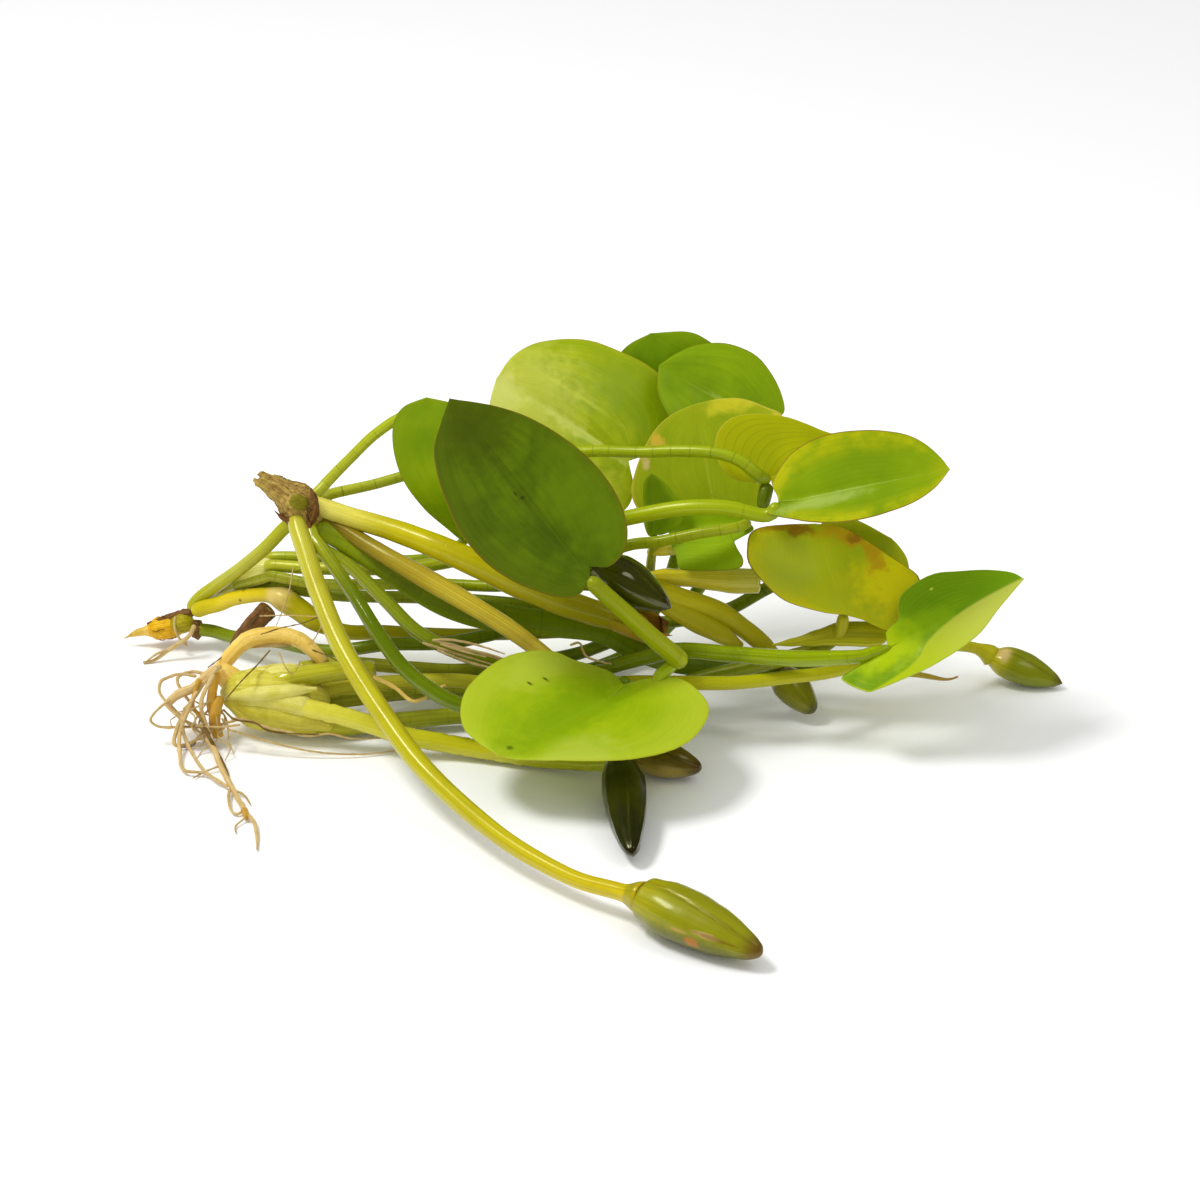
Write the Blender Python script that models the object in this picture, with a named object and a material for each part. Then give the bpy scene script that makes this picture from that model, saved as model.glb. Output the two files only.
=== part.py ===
"""Water poppy, uprooted and lying down: crowns, stems, floating leaves, buds and roots.

Every route and place below is in millimetres: X to the right, Y away from the front, Z up,
with the surface that the plant lies on at Z = 0. The model's origin is on that surface, under
the middle of the plant's outline.
"""
import math

import bmesh
import bpy
import numpy as np
from mathutils import Vector

MM = 0.001             # millimetres to metres
MIDDLE = Vector((-3.3, -17.0, 0.0))  # the middle of the outline, as the places below count
BLADE_THICKNESS = 0.8  # leaf blade
STEM_STEP = 8.0        # distance between two rings of a long stem
SHORT_STEP = 5.0       # the same on a short one
BLADE_ROWS = 11        # faces along a leaf
BLADE_COLUMNS = 4      # faces across a leaf
CREASE_SLOPE = 0.55    # how steeply a creased blade turns towards its face
BUD_SIDES = 9
CROWN_SIDES = 12
CROWN_RINGS = 8
FLAT_BELOW = 0.9       # a crown is pressed flat on the surface below this height
SPUR_DIRECTION = Vector((-0.78, 0.0, 0.62))  # the way the broken-off stub of a crown points

# A bud's half width along its length, as shares of its length and of its radius
BUD_PROFILE = [(0.0, 0.6), (0.06, 0.78), (0.16, 0.93), (0.32, 1.0), (0.48, 0.97),
               (0.64, 0.83), (0.8, 0.62), (0.93, 0.36), (1.0, 0.1)]

# Colours: linear red, green and blue
COLOURS = {
    "leaf_green": (0.12, 0.30, 0.01), "leaf_dark": (0.06, 0.14, 0.01),
    "leaf_bright": (0.32, 0.48, 0.02), "leaf_yellow": (0.33, 0.38, 0.02),
    "stem_yellow": (0.55, 0.50, 0.02), "stem_green": (0.22, 0.38, 0.02),
    "stem_dark": (0.07, 0.18, 0.01), "stem_brown": (0.45, 0.30, 0.04),
    "bud_green": (0.25, 0.30, 0.02), "bud_dark": (0.03, 0.05, 0.01),
    "crown_brown": (0.16, 0.08, 0.03), "crown_pale": (0.55, 0.62, 0.16),
    "root_tan": (0.68, 0.42, 0.15), "root_amber": (0.65, 0.33, 0.05),
}

# Stems: colour, radius at the start, middle and end, then the points of the route
STEMS = {
    "peduncle_thick": ("stem_yellow", 2.0, 2.5, 3.3, [
        (-55, 25, 39.5), (-51, 24, 38.5), (-41, 20, 37), (-31, 15, 35), (-20, 12, 31), (-12, 10, 28)]),
    "peduncle_yellow": ("stem_yellow", 1.3, 2.4, 1.7, [
        (-10, 13, 29), (-2, 14, 28.5), (10, 12.5, 27.5), (17, 13, 25), (24, 14, 22), (29, 15, 18),
        (34, 14, 14), (36, 12.5, 11)]),
    "pedicel_glossy": ("stem_green", 1.2, 1.1, 1.3, [
        (-9.5, 7, 31.5), (-6.5, 4, 35), (-3, 2, 36.8)]),
    "petiole_rolled": ("stem_green", 1.1, 1.2, 1.3, [
        (-56, 28, 45), (-51, 29, 50), (-46, 29, 55), (-40, 29, 59), (-33, 29, 61), (-20, 28, 60),
        (-8, 26, 56), (0, 24, 54), (8, 21, 54), (20, 15.5, 54.5), (27, 13.5, 54), (32.5, 14.5, 51.5)]),
    "petiole_bright_back": ("stem_green", 1.1, 1.2, 1.1, [
        (-55, 31, 41), (-47, 32, 42.5), (-39, 33, 44.5), (-33, 34, 45.5), (-21, 35, 46),
        (-6, 36, 44.5), (3, 36, 42)]),
    "peduncle_front": ("stem_yellow", 2.0, 2.0, 1.4, [
        (-62, 18.5, 35), (-57, 7, 30), (-51, -7, 23), (-42, -21, 15), (-33, -34, 9.5),
        (-19, -52, 6), (-6, -65, 4.6), (4.6, -73, 5.6)]),
    "petiole_folded": ("stem_dark", 1.4, 1.5, 1.9, [
        (-57, 21.5, 32.5), (-51, 18, 30), (-44, 13, 25), (-37, 8, 20), (-28, 6, 16), (-18, 8, 12),
        (-8, 8.5, 10.5), (0, 7.5, 12), (8, 6, 15), (16, 3.5, 18), (26, 1, 18.5), (39, -2.5, 19.2),
        (50.9, -4.2, 20.4)]),
    "petiole_front": ("stem_green", 1.4, 1.6, 1.4, [
        (-57, 17.5, 34.5), (-50, 9, 28), (-45, 2, 23), (-40, -3, 18), (-34, -7, 14.5), (-28, -9, 12),
        (-18, -9, 9), (-7, -7, 8.5), (1, -6, 11), (4.5, -6, 14.5)]),
    "stalk_broad": ("stem_dark", 1.7, 2.0, 1.5, [
        (-53, 25.5, 33.5), (-45, 22, 30), (-36, 18, 25), (-29, 15, 22.5), (-21, 13, 21), (-10, 12, 20),
        (0, 12, 18.5), (8, 12, 14), (17, 13, 10.5), (32, 15, 8.5), (43.5, 15.5, 8)]),
    "peduncle_brown": ("stem_brown", 1.6, 1.8, 1.4, [
        (-53, 20.5, 35.5), (-41, 15.5, 32), (-28.5, 9.5, 27), (-19, 6.5, 22), (-12, 5, 17),
        (-7, 2.5, 13.5), (0, -2, 8), (5, -9, 5), (7.5, -14, 4.6)]),
    "stolon_link": ("stem_green", 1.4, 1.4, 1.4, [
        (-65.5, 29, 34), (-70, 31, 28.5), (-76, 36, 21.5), (-81.5, 41, 15.5), (-86, 43.5, 11)]),
    "petiole_small": ("stem_yellow", 1.5, 1.5, 0.9, [
        (-82.5, 40, 8), (-78, 38, 13), (-71, 33.5, 16.5), (-67, 31.5, 17), (-63, 30, 15), (-59, 28, 12.5),
        (-53, 28, 10.5), (-46, 29, 10), (-36, 29, 9.5), (-21, 29, 9.5), (-8, 30, 9.5),
        (2, 31, 10), (8, 30, 13), (10, 25, 21.5), (10.5, 21, 30), (11, 18.5, 35.5)]),
    "petiole_orange_rim": ("stem_green", 1.4, 1.4, 1.2, [
        (-83, 41, 4.5), (-78, 37, 5), (-69, 31, 7), (-57, 23, 8.5), (-44, 21, 11), (-31, 22, 11),
        (-17, 26, 12.5), (-3, 32, 14), (14, 38, 15.5), (21, 36, 27), (24, 29, 35)]),
    "petiole_right": ("stem_green", 1.3, 1.5, 1.6, [
        (-69, 37.5, 21.5), (-59, 35, 22), (-42, 32, 23.5), (-31, 29, 26.5), (-19, 22, 33), (-6, 15, 39.5),
        (5, 11, 44), (16, 8, 47.5), (25, 6, 48.5), (33, 4.5, 47.5)]),
    "petiole_mid": ("stem_green", 1.1, 1.2, 1.1, [
        (-69, 34.5, 20.5), (-61, 31, 20.5), (-52, 28, 21.5), (-35, 24, 23.5), (-18, 20, 25),
        (-6, 17, 30), (5, 14, 36.5), (12, 13, 38), (20, 11.5, 40.5), (27.5, 11, 42)]),
    "petiole_behind_right": ("stem_dark", 1.3, 1.3, 1.4, [
        (-68, 36.5, 17.5), (-62, 33.5, 17.5), (-53, 31, 17.5), (-36, 29, 18), (-22, 27, 18),
        (-5, 25, 17), (10, 23, 15), (25, 22, 18), (34, 20.5, 23.8), (43, 18.8, 29.8)]),
    "petiole_far_left": ("stem_green", 1.1, 1.2, 1.0, [
        (-69, 41, 22), (-59, 39.5, 22.5), (-42, 37, 23), (-33, 33, 26), (-28.1, 29.3, 31.2)]),
    "peduncle_dark": ("crown_pale", 1.8, 1.9, 1.4, [
        (-60, -3, 8.5), (-52, -5, 7.5), (-46, -6, 6), (-39, -8, 4.5), (-28, -9, 2.8), (-14, -13, 2.2),
        (-2, -17, 3), (3.5, -21, 5)]),
    "petiole_mottled": ("stem_green", 1.6, 1.7, 1.5, [
        (-60, 0, 3.5), (-52, 0, 2.5), (-44, 2, 2.5), (-29, 4, 3), (-16, 5, 3), (0, 7, 4),
        (12, 8, 6), (20, 8.5, 9), (32, 8, 12.5), (40, 8.5, 14.5), (46, 7, 17.5), (48.8, 4.2, 24.1)]),
    "peduncle_right": ("stem_green", 1.5, 1.5, 1.1, [
        (-60, 5, 7.5), (-53, 7, 8), (-45, 9, 8), (-29, 9, 8.5), (-12, 7, 7), (-3, 6.5, 8),
        (5, 3, 11), (16, -2, 13.5), (27, -3, 14), (38, -0.5, 14), (47, 3, 13.5), (60, 13, 12), (71, 21, 10.5),
        (77, 24.5, 8.8), (81, 25.9, 6.9)]),
    "petiole_back_left": ("stem_green", 1.4, 1.4, 1.2, [
        (-60, 9, 11.5), (-52, 14, 10), (-39, 15, 8.5), (-29, 17, 7), (-17, 23, 5.5), (-2, 31, 5),
        (11, 40, 9), (17, 47, 22), (20, 51, 34), (20, 51, 42)]),
    "petiole_back_right": ("stem_green", 1.4, 1.4, 1.2, [
        (-60, 7, 4), (-52, 9, 4), (-41, 12, 4), (-29, 14, 3.5), (-15, 19, 3), (0, 27, 3),
        (13, 37, 6), (24, 44, 18), (32, 46, 35), (34, 44, 48.8)]),
    "petiole_dark_front": ("stem_green", 1.5, 1.6, 2.0, [
        (-1, -8, 38), (4, -8, 33), (10, -7, 26.5), (15, -5, 20.5), (16.5, -4, 18)]),
    "sheath_cut": ("crown_pale", 2.2, 2.2, 2.2, [
        (-60, 3, 12.5), (-53, 4.5, 13), (-46, 5, 13)]),
    "dead_stub": ("crown_brown", 1.6, 2.0, 1.9, [
        (-76, 27, 9), (-72, 27, 13), (-70, 27, 16)]),
    "rhizome_tip": ("root_tan", 1.4, 1.6, 1.1, [
        (-77, 10, 12), (-75, 10.5, 14.5), (-72, 12, 16.5), (-67, 13, 17), (-62, 12, 16.5), (-58.5, 10, 15)]),
    "root_stub": ("root_amber", 1.1, 1.2, 1.1, [
        (-79, -3, 8), (-78.5, -3.5, 5), (-77, -5, 1.6)]),
    "sheath_yellow": ("stem_yellow", 1.3, 2.0, 1.4, [
        (11, 17, 27.5), (18, 18, 27.5), (26, 18, 27), (32, 18, 27.5)]),
    "bract_pointed": ("stem_yellow", 1.3, 1.4, 0.3, [
        (45, 15.6, 8), (56, 16, 7.5), (66, 17, 6), (74, 17.5, 4.5)]),
    "bract_brown": ("stem_brown", 2.2, 2.8, 1.2, [
        (-10, 8.5, 26.5), (-5, 8.5, 25), (2, 9, 23.5), (10, 9.5, 20.5)]),
    "sheath_left": ("crown_pale", 1.4, 2.0, 2.9, [
        (-84, 46, 11), (-78, 43, 15.5), (-72, 39.5, 19.5)]),
    "root_trailing": ("root_tan", 0.9, 0.9, 0.5, [
        (-80, -6, 3), (-78, -9, 1.2), (-75, -14, 1), (-71, -24, 1), (-67, -37, 1), (-65, -48, 0.7)]),
    "root_long": ("root_tan", 0.6, 0.5, 0.4, [
        (-74, -7, 0.8), (-61, -5.5, 0.6), (-50, -5, 0.6), (-42, -4, 0.6), (-39, -3, 0.6)]),
    "root_forked": ("root_tan", 0.5, 0.6, 0.4, [
        (-88, 38.5, 3), (-93, 36, 1), (-98, 30, 0.6)]),
}

# Leaves: where the blade joins its stalk and where it points, its full width, the direction that
# its face looks in, the roll across it in degrees (negative bulges towards the face) and the bend
# of its tip towards the face. Its outline is two margins from the same start to the same end, as
# (share of the length, share of the half width). Beyond a crease the blade turns towards its face
LEAVES = {
    "leaf_far_left": {
        "colour": "leaf_green", "base": (-26.5, 28, 34.5), "tip": (-35, 26, 65), "width": 25,
        "face": (-0.2, -0.9, 0.3), "roll": 30, "bend": 0.05,
        "minus": [(0, 0), (-0.08, -0.2), (0.04, -0.45), (0.25, -0.75), (0.5, -0.88), (0.72, -0.74),
                  (0.9, -0.45), (1, 0)],
        "plus": [(0, 0), (-0.08, 0.2), (0.04, 0.42), (0.22, 0.68), (0.44, 0.84), (0.66, 0.83),
                 (0.86, 0.68), (0.97, 0.42), (1, 0)]},
    "leaf_dark_front": {
        "colour": "leaf_dark", "base": (-2, -8, 39.5), "tip": (-30, 12, 69), "width": 34,
        "face": (0.3, -0.85, 0.35), "roll": 35, "bend": 0.04,
        "minus": [(0, 0), (0.04, -0.1), (-0.01, -0.25), (0, -0.5), (0.08, -0.72), (0.22, -0.86),
                  (0.4, -0.88), (0.58, -0.77), (0.74, -0.58), (0.87, -0.33), (1, 0)],
        "plus": [(0, 0), (-0.03, 0.2), (0, 0.4), (0.09, 0.6), (0.2, 0.78), (0.33, 0.9), (0.48, 0.92),
                 (0.62, 0.83), (0.75, 0.7), (0.86, 0.52), (0.94, 0.24), (1, 0)]},
    "leaf_bright_back": {
        "colour": "leaf_bright", "base": (6, 37.5, 45.5), "tip": (-21, 40, 65), "width": 38,
        "face": (0.1, -0.7, 0.7), "roll": -20, "bend": -0.08,
        "minus": [(0, 0), (-0.1, -0.3), (-0.14, -0.6), (-0.08, -0.86), (0.06, -1), (0.24, -1.07),
                  (0.42, -1.06), (0.6, -0.97), (0.76, -0.78), (0.89, -0.54), (0.96, -0.26), (0.97, 0.05)],
        "plus": [(0, 0), (-0.12, 0.25), (-0.14, 0.5), (-0.02, 0.8), (0.2, 0.98), (0.45, 1), (0.68, 0.86),
                 (0.85, 0.6), (0.93, 0.3), (0.97, 0.05)]},
    "leaf_back_left": {
        "colour": "leaf_green", "base": (19.5, 51.5, 44), "tip": (12, 57, 67), "width": 27,
        "face": (-0.1, -0.8, 0.4), "roll": 25, "bend": 0,
        "minus": [(0, 0), (-0.08, -0.2), (-0.02, -0.5), (0.15, -0.8), (0.4, -0.96), (0.62, -0.93),
                  (0.8, -0.72), (0.92, -0.45), (1, 0.1)],
        "plus": [(0, 0), (-0.08, 0.2), (0, 0.5), (0.18, 0.82), (0.42, 0.97), (0.66, 0.92), (0.86, 0.75),
                 (0.96, 0.5), (1, 0.1)]},
    "leaf_back_right": {
        "colour": "leaf_green", "base": (34, 44, 51), "tip": (12, 51, 65), "width": 26,
        "face": (0.1, -0.7, 0.6), "roll": 20, "bend": 0,
        "minus": [(0, 0), (-0.05, -0.2), (-0.08, -0.4), (0.02, -0.61), (0.16, -0.77), (0.34, -0.88),
                  (0.53, -0.82), (0.67, -0.67), (0.79, -0.43), (0.87, -0.12), (0.92, 0.2)],
        "plus": [(0, 0), (-0.06, 0.2), (0, 0.45), (0.15, 0.72), (0.38, 0.88), (0.6, 0.85), (0.8, 0.6),
                 (0.92, 0.2)]},
    "leaf_orange_rim": {
        "colour": "leaf_yellow", "base": (24, 28, 37), "tip": (20, 43, 60), "width": 30,
        "face": (0, -0.8, 0.5), "roll": 20, "bend": 0,
        "minus": [(0, 0), (-0.1, -0.25), (0, -0.62), (0.1, -0.65), (0.2, -0.72), (0.35, -0.95),
                  (0.55, -1.12), (0.68, -1.12), (0.76, -0.92), (0.85, -0.63), (0.88, -0.33), (0.87, 0.05)],
        "plus": [(0, 0), (-0.1, 0.3), (-0.05, 0.7), (0.08, 1), (0.25, 1.12), (0.44, 1), (0.62, 0.8),
                 (0.74, 0.6), (0.82, 0.36), (0.87, 0.05)]},
    "leaf_rolled": {
        "colour": "leaf_yellow", "base": (34.5, 17.5, 50), "tip": (55, 21, 56.5), "width": 27,
        "face": (-0.1, -0.75, 0.65), "roll": 30, "bend": 0,
        "minus": [(0, 0), (0, -0.2), (0.1, -0.45), (0.35, -0.5), (0.6, -0.45), (0.8, -0.3), (0.95, 0)],
        "plus": [(0, 0), (-0.1, 0.03), (-0.18, 0.04), (-0.33, 0.2), (-0.39, 0.42), (-0.4, 0.63),
                 (-0.37, 0.8), (-0.29, 0.98), (-0.14, 1.08), (0.06, 1.03), (0.32, 0.83), (0.49, 0.61),
                 (0.63, 0.4), (0.8, 0.2), (0.95, 0)]},
    "leaf_right": {
        "colour": "leaf_green", "base": (35.5, 4.5, 50.5), "tip": (69, 8, 57), "width": 22,
        "face": (-0.15, -0.55, 0.8), "roll": 40, "bend": 0,
        "minus": [(0, 0), (-0.06, -0.1), (-0.07, -0.22), (0.05, -0.46), (0.17, -0.67), (0.3, -0.8),
                  (0.45, -0.84), (0.63, -0.77), (0.77, -0.65), (0.9, -0.43), (1.01, -0.11)],
        "plus": [(0, 0), (0, 0.15), (-0.01, 0.35), (0.04, 0.6), (0.16, 0.93), (0.36, 1.1), (0.6, 1.02),
                 (0.8, 0.79), (0.91, 0.5), (0.98, 0.15), (1.01, -0.11)]},
    "leaf_mottled": {
        "colour": "leaf_yellow", "base": (48.8, 3.6, 26), "tip": (46.2, 16, 41.2), "width": 34,
        "face": (0.05, -0.8, 0.6), "roll": 20, "bend": 0,
        "minus": [(0, -0.03), (-0.08, -0.24), (-0.14, -0.34), (-0.22, -0.49), (-0.21, -0.56), (0, -0.8),
                  (0.17, -0.95), (0.31, -0.96), (0.52, -0.72), (0.74, -0.44), (0.92, -0.15), (0.99, 0.15)],
        "plus": [(0, -0.03), (0.01, 0.05), (0.07, 0.29), (0.22, 0.66), (0.45, 0.9), (0.64, 1.03),
                 (0.8, 1.02), (0.94, 0.96), (1, 0.8), (1.01, 0.47), (0.99, 0.15)]},
    "leaf_behind_right": {
        "colour": "leaf_green", "base": (45, 18.9, 32.3), "tip": (62, 21.4, 38.3), "width": 22,
        "face": (-0.1, -0.6, 0.8), "roll": 20, "bend": 0,
        "minus": [(0, 0), (0, -0.3), (0.1, -0.8), (0.3, -1.15), (0.6, -1.25), (0.82, -1.1), (0.89, -0.75),
                  (0.86, -0.4), (0.82, -0.2)],
        "plus": [(0, 0), (0, 0.3), (0.15, 0.6), (0.35, 0.62), (0.52, 0.45), (0.7, 0.1), (0.82, -0.2)]},
    "leaf_folded": {
        "colour": "leaf_bright", "base": (53.5, -4, 21), "tip": (85, 4, 34), "width": 20,
        "face": (-0.35, -0.75, 0.55), "roll": 30, "bend": 0,
        "minus": [(0.12, -0.07), (-0.03, -0.02), (-0.09, -0.22), (-0.2, -0.23), (-0.11, -0.75),
                  (-0.03, -0.82), (0.16, -0.89), (0.36, -0.93), (0.59, -0.79), (0.79, -0.4), (1, -0.03)],
        "plus": [(0.12, -0.07), (0.14, 0.1), (0.16, 0.24), (0.25, 0.36), (0.29, 0.63), (0.34, 0.8),
                 (0.45, 0.89), (0.56, 0.88), (0.68, 0.72), (0.85, 0.45), (0.96, 0.19), (1, -0.03)],
        "crease": [(0, -0.75), (0.23, -0.59), (0.34, -0.33), (0.55, -0.1), (0.72, -0.02), (1, 0.01)]},
    "leaf_front": {
        "colour": "leaf_bright", "base": (5, -7, 17), "tip": (-19, -34, 13.5), "width": 47,
        "face": (0, -0.17, 0.98), "roll": 20, "bend": 0,
        "minus": [(0.05, 0.05), (0, -0.1), (0.01, -0.24), (0.08, -0.46), (0.12, -0.65), (0.23, -0.79),
                  (0.36, -0.87), (0.52, -0.88), (0.7, -0.83), (0.84, -0.7), (0.95, -0.5), (0.99, -0.28),
                  (1, -0.03)],
        "plus": [(0.05, 0.05), (-0.06, 0.1), (-0.14, 0.17), (-0.19, 0.35), (-0.17, 0.57), (-0.1, 0.79),
                 (0, 0.92), (0.16, 1.02), (0.3, 1.05), (0.45, 0.99), (0.6, 0.85), (0.72, 0.66),
                 (0.86, 0.36), (0.96, 0.12), (1, -0.03)]},
    "leaf_small": {
        "colour": "leaf_green", "base": (11, 17.5, 37.5), "tip": (9, 20, 50), "width": 11,
        "face": (0, -0.8, 0.4), "roll": 20, "bend": 0,
        "minus": [(0, 0), (-0.02, -0.3), (0.05, -0.8), (0.2, -1.2), (0.44, -1.2), (0.6, -1), (0.76, -0.78),
                  (0.91, -0.5), (0.99, -0.28)],
        "plus": [(0, 0), (0, 0.2), (0.2, 0.3), (0.5, 0.22), (0.78, 0.12), (0.93, -0.04), (0.99, -0.28)]},
    "leaf_mid": {
        "colour": "leaf_green", "base": (30, 14, 42), "tip": (14, 21.5, 38), "width": 19,
        "face": (0, -0.8, 0.55), "roll": 20, "bend": 0,
        "minus": [(0, 0), (0, -0.2), (0.1, -0.35), (0.4, -0.4), (0.7, -0.35), (0.9, -0.2), (1, 0.1)],
        "plus": [(0, 0), (-0.07, 0.18), (0.09, 0.36), (0.2, 0.48), (0.12, 0.62), (0.03, 0.82),
                 (0.06, 1.02), (0.3, 1.06), (0.6, 1.05), (0.8, 1), (0.86, 0.72), (0.95, 0.4), (1, 0.1)]},
}

# Buds: colour, base, tip, radius
BUDS = {
    "bud_front": ("bud_green", (6, -74, 6), (29, -91, 3.7), 5.1),
    "bud_dark": ("bud_dark", (4, -22.5, 5.4), (6, -52.5, 3.6), 4.0),
    "bud_brown": ("stem_brown", (8.5, -15.5, 4.6), (21, -19, 3), 3.6),
    "bud_olive": ("bud_dark", (37, 11.6, 8.6), (44, 5.6, 3), 3.5),
    "bud_right": ("bud_green", (82, 26, 5.7), (97, 22, 1.4), 3.4),
    "bud_glossy": ("bud_dark", (-1, 1, 37.3), (14, -2, 30), 4.0),
}

# Crowns: colour, centre, half sizes, turn about Y in degrees, height of the lumps, share by
# which the left end is narrower, reach of the spur
CROWNS = {
    "crown_upper": ("crown_brown", (-62, 26, 40), (6.2, 5, 6.8), 20, 0.12, 0.0, 3.5),
    "crown_left": ("crown_brown", (-93.5, 43, 5), (9.2, 3.5, 3.8), -5, 0.12, 0.35, 0.0),
    "crown_main": ("crown_pale", (-69, 3, 8), (8.4, 6.5, 8.2), 5, 0.05, 0.2, 0.0),
    "root_tangle": ("root_tan", (-85, 1, 7.5), (7, 4, 6.8), 25, 0.2, 0.0, 0.0),
}


def clear_scene():
    """Remove what is in the scene."""
    for old in list(bpy.data.objects):
        bpy.data.objects.remove(old, do_unlink=True)


def in_metres(place):
    """A place of the lists above as a point of the model."""
    return (Vector(place) - MIDDLE) * MM


def add_material(obj, colour, roughness):
    """Give an object a material of its own."""
    material = bpy.data.materials.new(obj.name)
    material.use_nodes = True
    shader = material.node_tree.nodes["Principled BSDF"]
    shader.inputs["Base Color"].default_value = (*COLOURS[colour], 1.0)
    shader.inputs["Roughness"].default_value = roughness
    shader.inputs["Metallic"].default_value = 0.0
    obj.data.materials.append(material)


def smooth_line(points):
    """A smooth curve through the given points, and the distance along it at each of its places."""
    given = np.array(points, dtype=float)
    ends = np.vstack([2 * given[0] - given[1], given, 2 * given[-1] - given[-2]])
    fine = []
    for i in range(len(given) - 1):
        p0, p1, p2, p3 = ends[i:i + 4]
        for t in np.linspace(0.0, 1.0, 12, endpoint=False):
            fine.append(0.5 * (2 * p1 + (p2 - p0) * t + (2 * p0 - 5 * p1 + 4 * p2 - p3) * t ** 2
                               + (3 * p1 - p0 - 3 * p2 + p3) * t ** 3))
    fine = np.array(fine + [given[-1]])
    reach = np.concatenate([[0.0], np.cumsum(np.linalg.norm(np.diff(fine, axis=0), axis=1))])
    return fine, reach


def even_places(points, count):
    """Places at even distances on the smooth curve through the points."""
    fine, reach = smooth_line(points)
    at = np.linspace(0.0, reach[-1], count)
    return np.column_stack([np.interp(at, reach, fine[:, axis]) for axis in range(fine.shape[1])])


def add_stem(name, colour, radius_start, radius_middle, radius_end, points):
    """A round stem along a smooth route, with its ends closed."""
    step = STEM_STEP if len(points) > 6 else SHORT_STEP
    route = even_places(points, max(3, int(round(smooth_line(points)[1][-1] / step)) + 1))
    share = np.linspace(0.0, 1.0, len(route))
    radii = np.interp(share, [0.0, 0.4, 1.0], [radius_start, radius_middle, radius_end])
    curve = bpy.data.curves.new(name, "CURVE")
    curve.dimensions = "3D"
    curve.bevel_depth = MM
    curve.bevel_resolution = 2
    curve.use_fill_caps = True
    spline = curve.splines.new("POLY")
    spline.points.add(len(route) - 1)
    for point, place, radius in zip(spline.points, route, radii):
        point.co = (*in_metres(place), 1.0)
        point.radius = radius
    obj = bpy.data.objects.new(name, curve)
    bpy.context.collection.objects.link(obj)
    add_material(obj, colour, 0.3)
    return obj


def object_from_bmesh(name, shape):
    """Turn a bmesh into an object with its faces out and its rounds shaded smooth."""
    bmesh.ops.recalc_face_normals(shape, faces=shape.faces)
    mesh = bpy.data.meshes.new(name)
    shape.to_mesh(mesh)
    shape.free()
    mesh.shade_smooth()
    obj = bpy.data.objects.new(name, mesh)
    bpy.context.collection.objects.link(obj)
    return obj


def add_leaf(name, colour, base, tip, width, face, roll, bend, minus, plus, crease=None):
    """A blade: rows of places between its margins, rolled, bent, creased and given its thickness."""
    base, tip, face = Vector(base), Vector(tip), Vector(face)
    along = (tip - base).normalized()
    across = face.cross(along).normalized()
    out = along.cross(across)
    length = (tip - base).length
    half = width / 2
    roll_radius = width / math.radians(roll)
    start, end = np.array(minus[0]), np.array(minus[-1])
    left, right = even_places(minus, BLADE_ROWS + 1), even_places(plus, BLADE_ROWS + 1)
    shape = bmesh.new()
    rows = []
    for i in range(BLADE_ROWS + 1):
        rib = start + (end - start) * i / BLADE_ROWS
        row = []
        for j in range(BLADE_COLUMNS + 1):
            s = 2 * j / BLADE_COLUMNS - 1
            t, side = (float(value) for value in rib + abs(s) * ((left[i] if s < 0 else right[i]) - rib))
            angle = side * half / roll_radius
            rise = roll_radius * (1 - math.cos(angle)) + bend * length * t * t
            if crease:
                line = float(np.interp(t, [place[0] for place in crease], [place[1] for place in crease]))
                rise += CREASE_SLOPE * half * max(0.0, line - side)
            place = base + t * length * along + roll_radius * math.sin(angle) * across + rise * out
            row.append(shape.verts.new(in_metres(place)))
        rows.append(row)
    for low, high in zip(rows, rows[1:]):
        for j in range(BLADE_COLUMNS):
            shape.faces.new((low[j], low[j + 1], high[j + 1], high[j]))
    bmesh.ops.remove_doubles(shape, verts=shape.verts, dist=0.01 * MM)
    obj = object_from_bmesh(name, shape)
    wall = obj.modifiers.new("blade", "SOLIDIFY")
    wall.thickness = BLADE_THICKNESS * MM
    wall.offset = 0.0
    add_material(obj, colour, 0.3)
    return obj


def add_bud(name, colour, base, tip, radius):
    """A pointed bud: a turned profile along its axis, closed at both ends."""
    base, tip = Vector(base), Vector(tip)
    along = (tip - base).normalized()
    across = along.orthogonal().normalized()
    out = along.cross(across)
    shape = bmesh.new()
    rings = []
    for share, width in BUD_PROFILE:
        centre = base.lerp(tip, share)
        ring = []
        for i in range(BUD_SIDES):
            angle = 2 * math.pi * i / BUD_SIDES
            spoke = math.cos(angle) * across + math.sin(angle) * out
            ring.append(shape.verts.new(in_metres(centre + spoke * radius * width)))
        rings.append(ring)
    for low, high in zip(rings, rings[1:]):
        for i in range(BUD_SIDES):
            j = (i + 1) % BUD_SIDES
            shape.faces.new((low[i], low[j], high[j], high[i]))
    shape.faces.new(rings[0])
    shape.faces.new(rings[-1])
    obj = object_from_bmesh(name, shape)
    add_material(obj, colour, 0.25)
    return obj


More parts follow.
